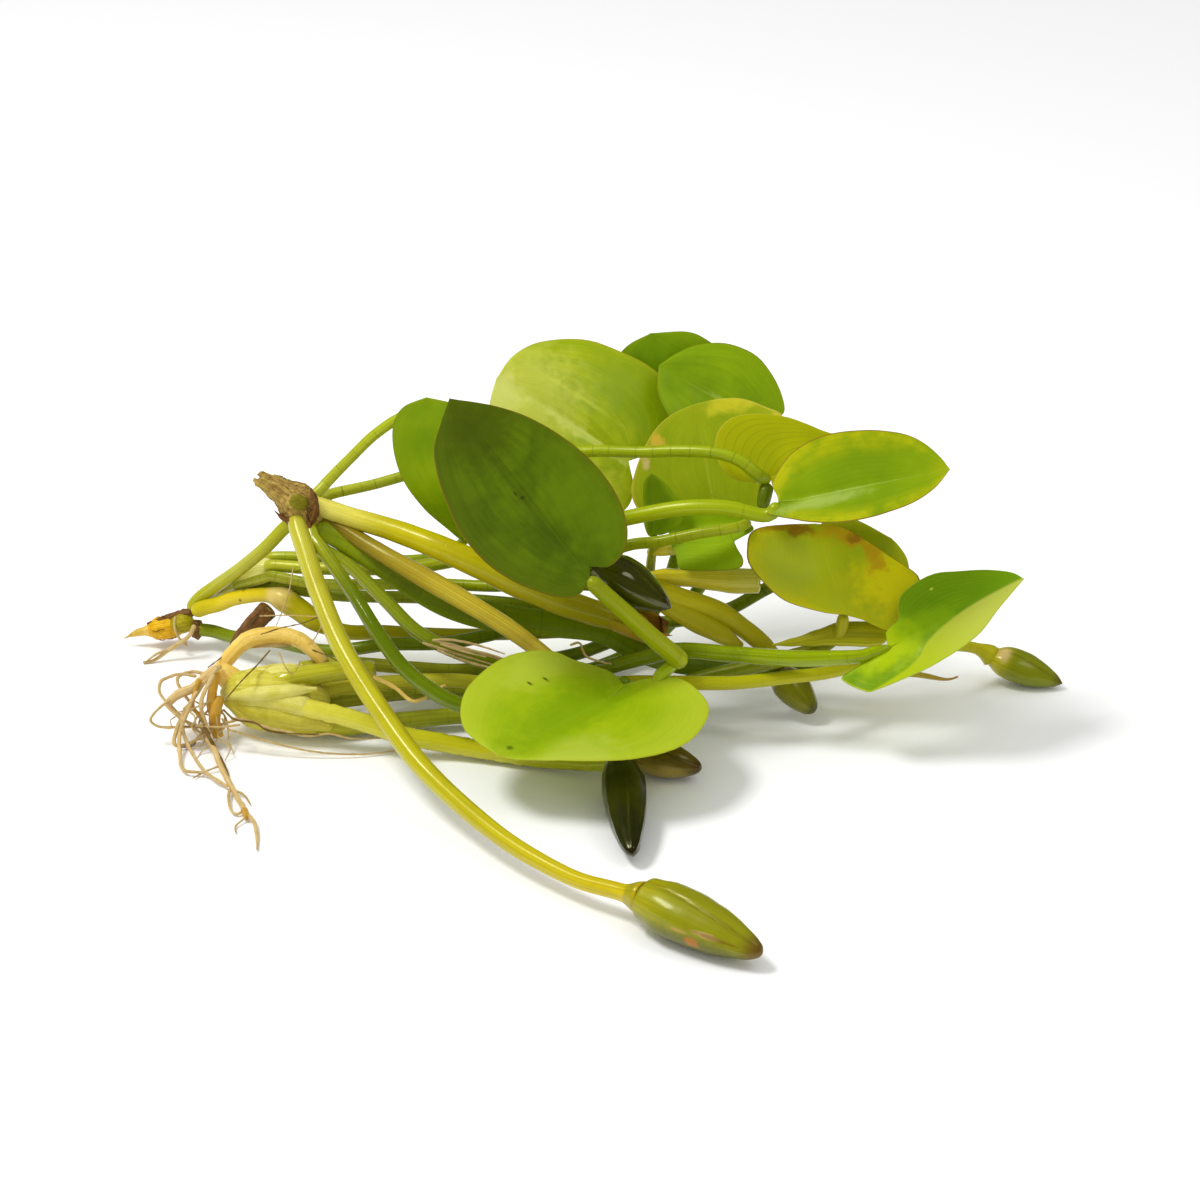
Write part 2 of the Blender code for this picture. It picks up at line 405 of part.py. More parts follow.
def add_crown(name, colour, centre, half, turn, lump, narrow, spur):
    """A knobbly rootstock: a ball stretched, turned and given soft lumps, flat where it rests."""
    shape = bmesh.new()
    bmesh.ops.create_uvsphere(shape, u_segments=CROWN_SIDES, v_segments=CROWN_RINGS, radius=1.0)
    angle = math.radians(turn)
    for vert in shape.verts:
        x, y, z = vert.co
        swell = 1 + lump * (math.sin(5 * x + 2 * z) * math.cos(4 * y - 3 * z))
        reach = spur * max(0.0, vert.co.dot(SPUR_DIRECTION) - 0.7) / 0.3
        taper = 1 + narrow * x
        x, y, z = x * half[0] * swell, y * half[1] * swell * taper, z * half[2] * swell * taper
        x, z = x * math.cos(angle) + z * math.sin(angle), z * math.cos(angle) - x * math.sin(angle)
        place = Vector((x, y, z)) + Vector(centre) + reach * SPUR_DIRECTION
        if place.z < FLAT_BELOW:
            place.z = 0.0
        vert.co = in_metres(place)
    obj = object_from_bmesh(name, shape)
    add_material(obj, colour, 0.6)
    return obj


def main():
    """Build every piece of the plant."""
    clear_scene()
    for name, values in STEMS.items():
        add_stem(name, *values)
    for name, values in LEAVES.items():
        add_leaf(name, **values)
    for name, values in BUDS.items():
        add_bud(name, *values)
    for name, values in CROWNS.items():
        add_crown(name, *values)


main()
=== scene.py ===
import math

import bpy
import numpy as np
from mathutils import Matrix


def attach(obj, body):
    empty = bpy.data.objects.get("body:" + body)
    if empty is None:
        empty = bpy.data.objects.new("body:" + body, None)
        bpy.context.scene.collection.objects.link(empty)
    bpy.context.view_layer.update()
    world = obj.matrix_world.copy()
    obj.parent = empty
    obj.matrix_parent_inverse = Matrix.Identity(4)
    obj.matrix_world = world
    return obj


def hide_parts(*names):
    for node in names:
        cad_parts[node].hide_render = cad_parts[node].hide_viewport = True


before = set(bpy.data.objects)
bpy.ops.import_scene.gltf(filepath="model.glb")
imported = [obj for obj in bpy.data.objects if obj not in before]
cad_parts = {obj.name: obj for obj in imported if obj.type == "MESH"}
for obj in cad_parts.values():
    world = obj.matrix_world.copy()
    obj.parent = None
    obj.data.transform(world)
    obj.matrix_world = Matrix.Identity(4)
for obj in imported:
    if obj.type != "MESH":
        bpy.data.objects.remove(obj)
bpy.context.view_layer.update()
print("frame loaded")

millimetre = 0.001
middle = np.array([-3.3, -17.0, 0.0])  # the middle of the plant's outline, as all places below count
lowest = 0.00003  # nothing reaches down to the floor itself, in metres


# Shapes: every surface is a stack of rings, closed at both ends

def unit(vector):
    return vector / np.linalg.norm(vector)


def softNoise(points, size, seed, waves=14):
    # The sum of sine waves that run in random directions, with lumps about size across
    chance = np.random.default_rng(seed)
    direction = chance.normal(size=(waves, 3))
    direction /= np.linalg.norm(direction, axis=1, keepdims=True)
    direction *= 2 * math.pi / size * chance.uniform(0.5, 1.6, (waves, 1))
    phase = chance.uniform(0, 2 * math.pi, waves)
    return np.sin(points @ direction.T + phase).sum(axis=-1) * 0.7 / math.sqrt(waves)


def smoothLine(points):
    # A Catmull-Rom curve through the points, and the distance along it at each of its points
    given = np.array(points, dtype=float)
    ends = np.vstack([2 * given[0] - given[1], given, 2 * given[-1] - given[-2]])
    p0, p1, p2, p3 = (ends[i:len(given) - 1 + i, None, :] for i in range(4))
    t = np.linspace(0, 1, 16, endpoint=False)[None, :, None]
    fine = 0.5 * (2 * p1 + (p2 - p0) * t + (2 * p0 - 5 * p1 + 4 * p2 - p3) * t ** 2
                  + (3 * p1 - p0 - 3 * p2 + p3) * t ** 3)
    fine = np.vstack([fine.reshape(-1, given.shape[1]), given[-1:]])
    return fine, np.concatenate([[0], np.cumsum(np.linalg.norm(np.diff(fine, axis=0), axis=1))])


def placesAlong(line, at):
    # The places on a smooth line at the given distances along it
    fine, reach = line
    return np.stack([np.interp(at, reach, fine[:, axis]) for axis in range(fine.shape[1])], axis=-1)


def ease(value):
    value = np.clip(value, 0, 1)
    return value * value * (3 - 2 * value)


def easedSteps(share, values):
    # Goes from one value to the next with a soft step, the values being evenly spaced along share
    place = np.clip(share, 0, 1) * (len(values) - 1)
    low = np.minimum(place.astype(int), len(values) - 2)
    values = np.array(values, dtype=float)
    return values[low] + (values[low + 1] - values[low]) * ease(place - low)


def carriedAxes(centre):
    # Two directions across the route at each of its places; they turn as little as they can
    tangent = np.gradient(centre, axis=0)
    tangent /= np.linalg.norm(tangent, axis=1, keepdims=True)
    sideways = [np.cross(tangent[0], (0.31, 0.17, 0.93))]
    for step in tangent:
        sideways.append(unit(sideways[-1] - step * (sideways[-1] @ step)))
    sideways = np.array(sideways[1:])
    return tangent, sideways, np.cross(tangent, sideways)


def stemRings(route, radii, sides=24, spacing=1.0, blunt=(1, 1), swell=(), flare=None, flat=1, turn=0,
              ribs=(0, 0), rough=(0, 2), seed=1, ragged=(0, 0), hollow=(0, 0), tone=0):
    # A ring is carried along a smooth route. Its radius goes through the listed radii, is larger by
    # the swellings (place, half width, extra), flares to its last radius over the flare's length,
    # and at each end falls to nothing as the height of a quarter of an ellipse does. Ribs (count,
    # share of the radius) are a cosine of the angle round the ring, and roughness (height, size)
    # is noise added along the radius
    line = smoothLine(route)
    length = line[1][-1]
    capA, capB = max(0.02, radii[0] * blunt[0]), max(0.02, radii[-1] * blunt[1])
    bend = np.linspace(0, math.pi / 2, 6)[1:-1]
    body = np.linspace(capA, length - capB, max(6, int(length / spacing)))
    at = np.concatenate([capA * (1 - np.cos(bend)), body, length - capB * (1 - np.cos(bend[::-1]))])
    radius = easedSteps(at / length, radii)
    for place, wide, extra in swell:
        radius = radius + extra * np.exp(-((at - place) / wide) ** 2)
    if flare:
        radius = radius + (flare[1] - radius) * ease((at - length) / flare[0] + 1) ** 1.2
    radius *= np.sqrt(1 - np.clip((capA - at) / capA, 0, 1) ** 2)
    radius *= np.sqrt(1 - np.clip((at - length + capB) / capB, 0, 1) ** 2)
    centre = placesAlong(line, at)
    tangent, sideways, upward = carriedAxes(centre)
    angle = np.linspace(0, 2 * math.pi, sides, endpoint=False)
    cosine, sine = np.cos(math.radians(turn)), np.sin(math.radians(turn))
    spoke = (np.cos(angle)[None, :, None] * (cosine * sideways + sine * upward)[:, None, :]
             + flat * np.sin(angle)[None, :, None] * (cosine * upward - sine * sideways)[:, None, :])
    wide = radius[:, None] * (1 + ribs[1] * np.cos(ribs[0] * angle))
    points = centre[:, None, :] + wide[..., None] * spoke
    if rough[0]:
        fade = np.clip(radius / max(radii), 0, 1)[:, None]
        points = points + (rough[0] * fade * softNoise(points, rough[1], seed))[..., None] * spoke
    poles = [line[0][0], line[0][-1]]
    for end, outwards in ((0, -1), (1, 1)):
        if ragged[end]:  # a torn end: teeth along the route
            away = length - at if end else at
            circle = np.column_stack([np.cos(angle), np.sin(angle), 0 * angle])
            teeth = np.abs(ragged[end] * softNoise(circle, 0.7, 5 + end))
            shift = np.exp(-(away / 1.2) ** 2)[:, None] * teeth
            points = points + shift[..., None] * (tangent[-end] * outwards)
        poles[end] = poles[end] - tangent[-end] * hollow[end] * outwards  # a cut end sinks in the middle
    return {"points": points, "poles": poles, "around": np.linspace(0, 1, sides + 1), "share": at / length,
            "values": {"share": at[:, None] / length, "reach": at[:, None], "tone": tone}}


def wrapRings(route, radii, low, high, teeth, crinkle, thick, rows=40, columns=28):
    # A thin sheet wrapped part of the way round a route, as a papery bract is: it is an arc from
    # one angle to the other at each place of the route, and its far edge is torn into teeth
    line = smoothLine(route)
    length = line[1][-1]
    at = np.linspace(0, length, rows)
    share = at / length
    low, high = (np.radians(easedSteps(share, angles)) for angles in (low, high))
    arc = np.linspace(0, 1, columns)
    angle = low[:, None] + (high - low)[:, None] * arc
    tooth = teeth * softNoise(np.column_stack([angle[-1] * 2.2, 0 * arc, 0 * arc]), 1.5, 1)
    moved = np.clip(at[:, None] + (share[:, None] ** 4) * tooth, 0, None)
    tangent, sideways, upward = carriedAxes(placesAlong(line, at))
    centre = placesAlong(line, moved) + np.maximum(moved - length, 0)[..., None] * tangent[-1]
    spoke = np.cos(angle)[..., None] * sideways[:, None, :] + np.sin(angle)[..., None] * upward[:, None, :]
    sheet = centre + easedSteps(share, radii)[:, None, None] * spoke
    sheet = sheet + (crinkle * softNoise(sheet, 2.5, 4))[..., None] * spoke
    half = 0.5 * thick * spoke
    return {"points": np.concatenate([sheet + half, (sheet - half)[:, ::-1]], axis=1),
            "poles": [sheet[0].mean(axis=0), sheet[-1].mean(axis=0)],
            "around": np.concatenate([arc, arc[::-1], arc[:1]]), "share": share,
            "values": {"share": share[:, None], "reach": at[:, None]}}


def bothSides(top, below):
    # The upper side from margin to margin and the lower side back again, without the two ends
    return np.concatenate([top[1:-1], below[1:-1, ::-1]], axis=1)


def leafRings(base, tip, width, face, roll, plus, minus, bend=0, start=(0, 0), end=(1, 0), groove=(0.35, 1.3),
              waves=(0.35, 2.5, 0), crease=None, rows=74, columns=53, thick=0.5, slope=0.55, sharp=14):
    # v goes from the stalk to the tip and s from margin to margin. Each margin is a smooth line
    # through the listed places (share of the length, share of the half width), and a point of the
    # blade is |s| of the way from the midrib to the margin. The flat blade is then rolled about its
    # midrib, bent, grooved and waved, and given its thickness
    base, tip, face = (np.array(place, dtype=float) for place in (base, tip, face))
    length = np.linalg.norm(tip - base)
    along = unit(tip - base)
    across = unit(np.cross(face, along))
    out = np.cross(along, across)
    half = width / 2
    v = 0.5 - 0.5 * np.cos(np.linspace(0, math.pi, rows))
    s = np.sin(np.linspace(-math.pi / 2, math.pi / 2, columns))
    rib = np.array(start) + np.outer(v, np.array(end) - np.array(start))
    lines = [smoothLine([start] + margin + [end]) for margin in (minus, plus)]
    minus, plus = (placesAlong(line, v * line[1][-1]) for line in lines)
    target = np.where(s[None, :, None] < 0, minus[:, None], plus[:, None])
    away = np.abs(s)[None, :]
    flat = rib[:, None] + away[..., None] * (target - rib[:, None])
    t, b = flat[..., 0], flat[..., 1] * half
    grow = np.sin(math.pi * v)[:, None]
    curl = width / math.radians(roll)
    c = curl * (1 - np.cos(b / curl)) + bend * length * t * t
    deep, wide = groove
    fromRib = b - rib[:, 1:] * half
    c = c - deep * np.exp(-(fromRib / wide) ** 2) * (1 - v[:, None]) ** 0.5 * np.minimum(1, 8 * v)[:, None]
    height, count, phase = waves
    c = c + height * away ** 3 * grow * np.sin(math.pi * count * v[:, None] + phase + 1.3 * np.sign(s))
    if crease:  # beyond this line of places (t, b) the blade turns towards its face
        line = np.interp(t, *np.transpose(crease))
        c = c + slope * half * np.logaddexp(0, (line - b / half) * sharp) / sharp
    b = curl * np.sin(b / curl)
    sheet = base + (t * length)[..., None] * along + b[..., None] * across + c[..., None] * out
    sheet = sheet + 0.05 * softNoise(sheet, 6, 3)[..., None] * out
    normal = np.cross(np.gradient(sheet, axis=1), np.gradient(sheet, axis=0))
    normal /= np.maximum(np.linalg.norm(normal, axis=2, keepdims=True), 1e-9)
    normal *= np.sign((normal @ out).mean())
    thickness = thick * (1 - 0.6 * away ** 8) * (0.4 + 0.6 * grow ** 0.5)
    shell = 0.5 * thickness[..., None] * normal
    ones = np.ones((rows, columns))
    away, side = (bothSides(grid, grid) for grid in (away * ones, np.sign(s) * ones))
    unrolled = np.stack([0.5 + 0.5 * flat[..., 1], flat[..., 0]], axis=-1)
    return {"points": bothSides(sheet + shell, sheet - shell), "poles": [sheet[0, 0], sheet[-1, 0]],
            "uv": bothSides(unrolled, unrolled),
            "poleUv": [(0.5 + 0.5 * start[1], start[0]), (0.5 + 0.5 * end[1], end[0])],
            "values": {"share": v[1:-1, None], "away": away, "side": side, "tone": bothSides(0 * ones, ones)}}


def budRings(base, tip, radius, profile, turn, ridge=0.1, rows=66, sides=96):
    # Three sepals round an axis: the radius follows a profile along the axis, is a little larger
    # in the middle of each sepal, and steps up where one sepal's margin lies over the next
    base, tip = np.array(base, dtype=float), np.array(tip, dtype=float)
    length = np.linalg.norm(tip - base)
    along = unit(tip - base)
    across = unit(np.cross(along, (0.0, 0.0, 1.0)))
    out = np.cross(across, along)
    x = (0.5 - 0.5 * np.cos(np.linspace(0, math.pi, rows)))[1:-1, None]
    angle = np.linspace(-0.5 * math.pi, 1.5 * math.pi, sides, endpoint=False)[None, :]
    fine = smoothLine(profile)[0]
    turned = (angle + turn + 0.5 * x) / (2 * math.pi) * 3
    within = turned - np.floor(turned)
    step = np.clip(within / 0.05, 0, 1) * (1 - within) ** 1.5
    keel = np.exp(-((within - 0.5) / 0.05) ** 2)
    body = ease((x - 0.08) / 0.12) * (1 - ease((x - 0.9) / 0.1))
    wide = radius * np.interp(x, fine[:, 0], fine[:, 1]) * (1 + 0.045 * np.cos(2 * math.pi * (within - 0.5)))
    wide = wide + body * (0.28 * step + ridge * keel)
    spoke = np.cos(angle)[..., None] * across + np.sin(angle)[..., None] * out
    points = base + x[..., None] * length * along + wide[..., None] * spoke
    points = points + (0.06 * softNoise(points, 5, 7))[..., None] * spoke
    return {"points": points, "poles": (base, tip), "around": np.linspace(0, 1, sides + 1), "share": x[:, 0],
            "values": {"share": x, "reach": x * length, "tone": within * np.ones_like(x)}}


def metres(places):
    moved = (np.array(places) - middle) * millimetre
    moved[..., 2] = np.maximum(moved[..., 2], lowest)
    return moved


def addPiece(node, grids, makeMaterial, look):
    # Rings are joined by four-sided faces and each end is closed by a fan round its pole
    words = node.split("_")
    name = words[0] + "".join(word.capitalize() for word in words[1:])
    places, quads, fans, uvs, fanUvs = [], [], [], [], []
    values = {key: [] for key in ("share", "reach", "tone", "away", "side")}
    offset = 0
    for grid in grids:
        m, n = grid["points"].shape[:2]
        index = offset + np.arange(m * n).reshape(m, n)
        after = np.roll(index, -1, axis=1)
        first, last = offset + m * n, offset + m * n + 1
        quad = np.stack([index[:-1], after[:-1], after[1:], index[1:]], axis=-1).reshape(-1, 4)
        fan = np.vstack([np.column_stack([np.full(n, first), after[0], index[0]]),
                         np.column_stack([np.full(n, last), index[-1], after[-1]])])
        places.append(np.vstack([metres(grid["points"]).reshape(-1, 3), metres(grid["poles"])]))
        if "uv" in grid:  # a leaf's own flat places
            corner = np.concatenate([grid["uv"], grid["uv"][:, :1]], axis=1)
            centres = [np.tile(place, (n, 1)) for place in grid["poleUv"]]
        else:
            corner = np.stack(np.meshgrid(grid["around"], grid["share"]), axis=-1)
            centres = [0.5 * (corner[row, :-1] + corner[row, 1:]) * (1, 0) + (0, high)
                       for row, high in ((0, 0), (-1, 1))]
        quadUv = np.stack([corner[:-1, :-1], corner[:-1, 1:], corner[1:, 1:], corner[1:, :-1]], axis=2)
        quadUv = quadUv.reshape(-1, 4, 2)
        fanUv = np.vstack([np.stack([centres[0], corner[0, 1:], corner[0, :-1]], axis=1),
                           np.stack([centres[1], corner[-1, :-1], corner[-1, 1:]], axis=1)])
        # Faces look outwards where the volume that they enclose is positive
        whole = places[-1] - places[-1].mean(axis=0)
        a, b, c = (whole[column] for column in
                   (np.vstack([quad[:, [0, 1, 2]], quad[:, [0, 2, 3]], fan]) - offset).T)
        if np.einsum("ij,ij->i", a, np.cross(b, c)).sum() < 0:
            quad, fan, quadUv, fanUv = (rows[:, ::-1] for rows in (quad, fan, quadUv, fanUv))
        quads.append(quad)
        fans.append(fan)
        uvs.append(quadUv.reshape(-1, 2))
        fanUvs.append(fanUv.reshape(-1, 2))
        for key, lists in values.items():
            value = grid["values"].get(key, 0) * np.ones((m, n))
            lists.append(np.concatenate([value.ravel(), [value[0].mean(), value[-1].mean()]]))
        offset += m * n + 2
    mesh = bpy.data.meshes.new(name)
    mesh.from_pydata(np.vstack(places), [], np.vstack(quads).tolist() + np.vstack(fans).tolist())
    mesh.uv_layers.new(name="surface").data.foreach_set("uv", np.vstack(uvs + fanUvs).ravel())
    for key, lists in values.items():
        mesh.attributes.new(key, "FLOAT", "POINT").data.foreach_set("value", np.concatenate(lists))
    mesh.shade_smooth()
    mesh.materials.append(makeMaterial(name, **look))
    piece = bpy.data.objects.new(name, mesh)
    bpy.context.collection.objects.link(piece)
    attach(piece, "root")
    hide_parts(node)


# Materials

def linear(colour):
    # A colour as it shows, 0 to 255, turned into the linear one that a socket takes
    shown = np.array(colour) / 255
    turned = np.where(shown <= 0.04045, shown / 12.92, ((shown + 0.055) / 1.055) ** 2.4)
    return tuple(float(part) for part in turned) + (1.0,)


def fillSockets(tree, node, sockets):
    for key, value in (sockets or {}).items():
        if isinstance(value, bpy.types.NodeSocket):
            tree.links.new(value, node.inputs[key])
        else:
            node.inputs[key].default_value = value


def addNode(tree, kind, sockets=None, **settings):
    node = tree.nodes.new("ShaderNode" + kind)
    for key, value in settings.items():
        setattr(node, key, value)
    fillSockets(tree, node, sockets)
    return node


def calc(tree, operation, *values):
    return addNode(tree, "Math", dict(enumerate(values)), operation=operation).outputs[0]


def times(tree, first, second):
    return calc(tree, "MULTIPLY", first, second)


def timesPlus(tree, first, second, added):
    return calc(tree, "MULTIPLY_ADD", first, second, added)


def joined(tree, x=0.0, y=0.0, z=0.0):
    return addNode(tree, "CombineXYZ", {0: x, 1: y, 2: z}).outputs[0]


def blend(tree, share, low, high):
    low, high = (linear(colour) if isinstance(colour, tuple) else colour for colour in (low, high))
    return addNode(tree, "Mix", {0: share, 6: low, 7: high}, data_type="RGBA").outputs[2]


def overlay(tree, colour, mask, strength, over):
    return blend(tree, times(tree, mask, strength), colour, over)


def ramp(tree, value, low, high, start=0.0, end=1.0):
    return addNode(tree, "MapRange", {0: value, 1: low, 2: high, 3: start, 4: end},
                   interpolation_type="SMOOTHSTEP").outputs[0]


def attribute(tree, name):
    return addNode(tree, "Attribute", attribute_name=name).outputs["Fac"]


def ownPlace(tree):
    return addNode(tree, "TexCoord").outputs["Object"]


def surfacePlace(tree):
    return addNode(tree, "SeparateXYZ", {0: addNode(tree, "UVMap", uv_map="surface").outputs[0]}).outputs


def noiseAt(tree, vector, scale=1.0, detail=2.0, rough=0.5):
    return addNode(tree, "TexNoise", {"Vector": vector, "Scale": scale, "Detail": detail,
                                      "Roughness": rough}).outputs["Fac"]


def newGroup(name, inputs, build):
    # A node group of numbers: build is given the tree and its inputs and returns its outputs by name
    tree = bpy.data.node_groups.new(name, "ShaderNodeTree")
    for socket in inputs:
        tree.interface.new_socket(name=socket, in_out="INPUT", socket_type="NodeSocketFloat")
    made = build(tree, tree.nodes.new("NodeGroupInput").outputs)
    for socket in made:
        tree.interface.new_socket(name=socket, in_out="OUTPUT", socket_type="NodeSocketFloat")
    fillSockets(tree, tree.nodes.new("NodeGroupOutput"), made)
    return tree


def placeGroup(tree, group, *values):
    node = tree.nodes.new("ShaderNodeGroup")
    node.node_tree = group
    fillSockets(tree, node, dict(enumerate(values)))
    return node.outputs


def buildMottle(tree, given):
    # Cloudy patches: noise on the object's own coordinates, cut between two levels
    scale = calc(tree, "DIVIDE", 1000.0, given["Size"])
    noise = noiseAt(tree, ownPlace(tree), scale, given["Detail"], 0.6)
    return {"Mask": ramp(tree, noise, given["Low"], given["High"])}


def buildLeafVeins(tree, given):
    # Veins are lines of equal share of the way to the margin, so they meet at stalk and tip.
    # Streaks are noise drawn out along them, and the film is the unevenness of the wet skin
    away, share, side = (attribute(tree, key) for key in ("away", "share", "side"))
    place = ownPlace(tree)
    count = times(tree, timesPlus(tree, noiseAt(tree, place, 160.0), 0.02, away), given["Veins"])
    vein = ramp(tree, calc(tree, "PINGPONG", count, 0.5), 0.14, 0.0)
    drawn = joined(tree, times(tree, away, 9.0), times(tree, share, 2.4), times(tree, side, 5.0))
    streak = ramp(tree, noiseAt(tree, drawn, 1.0, 4.0, 0.6), 0.35, 0.68)
    film = noiseAt(tree, place, 190.0, 3.0, 0.55)
    height = timesPlus(tree, film, 2.2, times(tree, vein, 0.22))
    return {"Vein": vein, "Streak": streak, "Midrib": ramp(tree, away, 0.03, 0.004), "Away": away,
            "Height": timesPlus(tree, streak, 0.12, height)}


def buildSpot(tree, given):
    # A patch round one place of the unrolled surface, with a ragged outline. Patches are used both for marks
    # of the skin's own colour and for painted sheen, highlight and shade
    parts = surfacePlace(tree)
    x = calc(tree, "DIVIDE", calc(tree, "SUBTRACT", parts[0], given["Across"]), given["Wide"])
    y = calc(tree, "DIVIDE", calc(tree, "SUBTRACT", parts[1], given["Along"]), given["Long"])
    away = calc(tree, "SQRT", calc(tree, "ADD", times(tree, x, x), times(tree, y, y)))
    uneven = calc(tree, "SUBTRACT", noiseAt(tree, ownPlace(tree), 450.0, 4.0), 0.5)
    return {"Mask": ramp(tree, timesPlus(tree, uneven, given["Ragged"], away), 1.35, 0.4)}


def buildStemMarks(tree, given):
    # Stripes are noise drawn out along the stem, and cross walls are thin rings at uneven distances
    angle = times(tree, surfacePlace(tree)[0], 2 * math.pi)
    reach = attribute(tree, "reach")
    x, y = (times(tree, calc(tree, part, angle), given["Stripes"]) for part in ("COSINE", "SINE"))
    stripe = noiseAt(tree, joined(tree, x, y, timesPlus(tree, reach, 0.035, given["Seed"])))
    uneven = noiseAt(tree, joined(tree, given["Seed"], 0.0, times(tree, reach, 0.12)), 1.0, 0.0)
    count = timesPlus(tree, uneven, 1.6, calc(tree, "DIVIDE", reach, given["Walls"]))
    wall = ramp(tree, times(tree, calc(tree, "PINGPONG", count, 0.5), given["Walls"]), 0.16, 0.04)
    place = ownPlace(tree)
    wall = times(tree, wall, ramp(tree, noiseAt(tree, place, 260.0), 0.3, 0.6, 0.35, 1.0))
    grain = timesPlus(tree, noiseAt(tree, place, 800.0), 0.9, stripe)
    height = timesPlus(tree, wall, -0.4, grain)
    return {"Stripe": ramp(tree, stripe, 0.35, 0.65), "Wall": wall, "Height": height}


mottleGroup = newGroup("mottle", ["Size", "Detail", "Low", "High"], buildMottle)
veinGroup = newGroup("leafVeins", ["Veins"], buildLeafVeins)
spotGroup = newGroup("spot", ["Across", "Along", "Wide", "Long", "Ragged"], buildSpot)
stemGroup = newGroup("stemMarks", ["Stripes", "Walls", "Seed"], buildStemMarks)
noWalls = 500.0  # a distance between cross walls that is longer than any piece


def mottle(tree, size, detail, low, high):
    return placeGroup(tree, mottleGroup, size, detail, low, high)["Mask"]


def newMaterial(name, rough, coat, shine):
    material = bpy.data.materials.new(name)
    material.use_nodes = True
    tree = material.node_tree
    shader = tree.nodes["Principled BSDF"]
    fillSockets(tree, shader, {"Roughness": rough, "Coat Weight": coat, "Coat Roughness": 0.12,
                               "Specular IOR Level": shine, "Specular Tint": (1, 1, 0.4, 1)})
    return material, tree, shader


def finishMaterial(tree, shader, colour, height, strength, distance):
    bump = addNode(tree, "Bump", {"Height": height, "Strength": strength, "Distance": distance * millimetre})
    fillSockets(tree, shader, {"Base Color": colour, "Normal": bump.outputs[0]})


def addSpots(tree, colour, spots):
    # Each spot: place across, place along, half width, half length, raggedness, colour, strength. Spots are
    # used both for marks of the skin's own colour and for painted sheen, highlight and shade
    for *shape, spotColour, strength in spots:
        colour = overlay(tree, colour, placeGroup(tree, spotGroup, *shape)["Mask"], strength, spotColour)
    return colour


def leafMaterial(name, light, deep, edge, vein, rib, rim, under, rough=0.42, coat=0.03, shine=0.2, veins=11.0,
                 cloudSize=16.0, edgeFrom=(0.45, 1.0), edgeRagged=False, streakShow=0.35, speck=None,
                 speckShow=0.5, veinShow=0.12, ribShow=0.4, rimWide=0.025, rimShow=0.8, spots=(), strip=None,
                 crease=None):
    material, tree, shader = newMaterial(name, rough, coat, shine)
    lines = placeGroup(tree, veinGroup, veins)
    share = attribute(tree, "share")
    colour = blend(tree, mottle(tree, cloudSize, 3.0, 0.34, 0.68), light, deep)
    toEdge = ramp(tree, lines["Away"], *edgeFrom)
    if edgeRagged:
        toEdge = times(tree, toEdge, mottle(tree, 6.0, 4.0, 0.3, 0.62))
    toTip = times(tree, ramp(tree, share, 0.8, 1.0), 0.5)
    colour = blend(tree, calc(tree, "MAXIMUM", toEdge, toTip), colour, edge)
    colour = overlay(tree, colour, lines["Streak"], streakShow, deep)
    if speck:
        colour = overlay(tree, colour, mottle(tree, 3.5, 5.0, 0.54, 0.68), speckShow, speck)
    colour = overlay(tree, colour, lines["Vein"], veinShow, vein)
    fade = times(tree, ramp(tree, share, 1.0, 0.15), ribShow)
    colour = overlay(tree, colour, lines["Midrib"], fade, rib)
    spots = [(0.5 + 0.5 * b, a, 0.5 * halfB, halfA, *rest) for a, b, halfA, halfB, *rest in spots]
    colour = addSpots(tree, colour, spots)
    if strip:  # the turned-up strip below the crease, as far as the line in the blade's shape, painted pale as a sheen of light, paler towards the tip
        uv = surfacePlace(tree)
        below = addNode(tree, "FloatCurve", {"Value": uv[1]})
        curve = below.mapping.curves[0]
        for a, b in crease[1:-1]:
            curve.points.new(a, 0.5 + 0.5 * b)
        for point, (a, b) in zip((curve.points[0], curve.points[-1]), (crease[0], crease[-1])):
            point.location = (a, 0.5 + 0.5 * b)
        below.mapping.update()
        mask = ramp(tree, calc(tree, "SUBTRACT", below.outputs[0], uv[0]), -0.01, 0.03)
        colour = overlay(tree, colour, mask, 0.9, blend(tree, ramp(tree, uv[1], 0.1, 0.8), *strip))
    colour = overlay(tree, colour, ramp(tree, lines["Away"], 1 - rimWide, 1 - 0.3 * rimWide), rimShow, rim)
    colour = overlay(tree, colour, attribute(tree, "tone"), 0.6, under)
    finishMaterial(tree, shader, colour, lines["Height"], 0.4, 0.12)
    return material


def stemMaterial(name, start, middle, end, stripe, wall, rough=0.32, coat=0.12, shine=0.4, stripes=6.0,
                 walls=4.0, seed=1.0, middleAt=0.5, stripeShow=0.4, wallShow=0, spots=(), other=None):
    material, tree, shader = newMaterial(name, rough, coat, shine)
    marks = placeGroup(tree, stemGroup, stripes, walls, seed)
    share = attribute(tree, "share")
    colour = blend(tree, ramp(tree, share, 0.0, middleAt), start, middle)
    colour = blend(tree, ramp(tree, share, middleAt, 1.0), colour, end)
    colour = overlay(tree, colour, marks["Stripe"], stripeShow, stripe)
    if wallShow:
        colour = overlay(tree, colour, marks["Wall"], wallShow, wall)
    colour = overlay(tree, colour, mottle(tree, 9.0, 3.0, 0.45, 0.75), 0.35, stripe)
    colour = addSpots(tree, colour, spots)
    if other:  # the skin of a second part, such as a sheath beside the stem
        second = overlay(tree, other, marks["Stripe"], 0.4, stripe)
        colour = blend(tree, attribute(tree, "tone"), colour, second)
    finishMaterial(tree, shader, colour, marks["Height"], 0.35, 0.15)
    return material


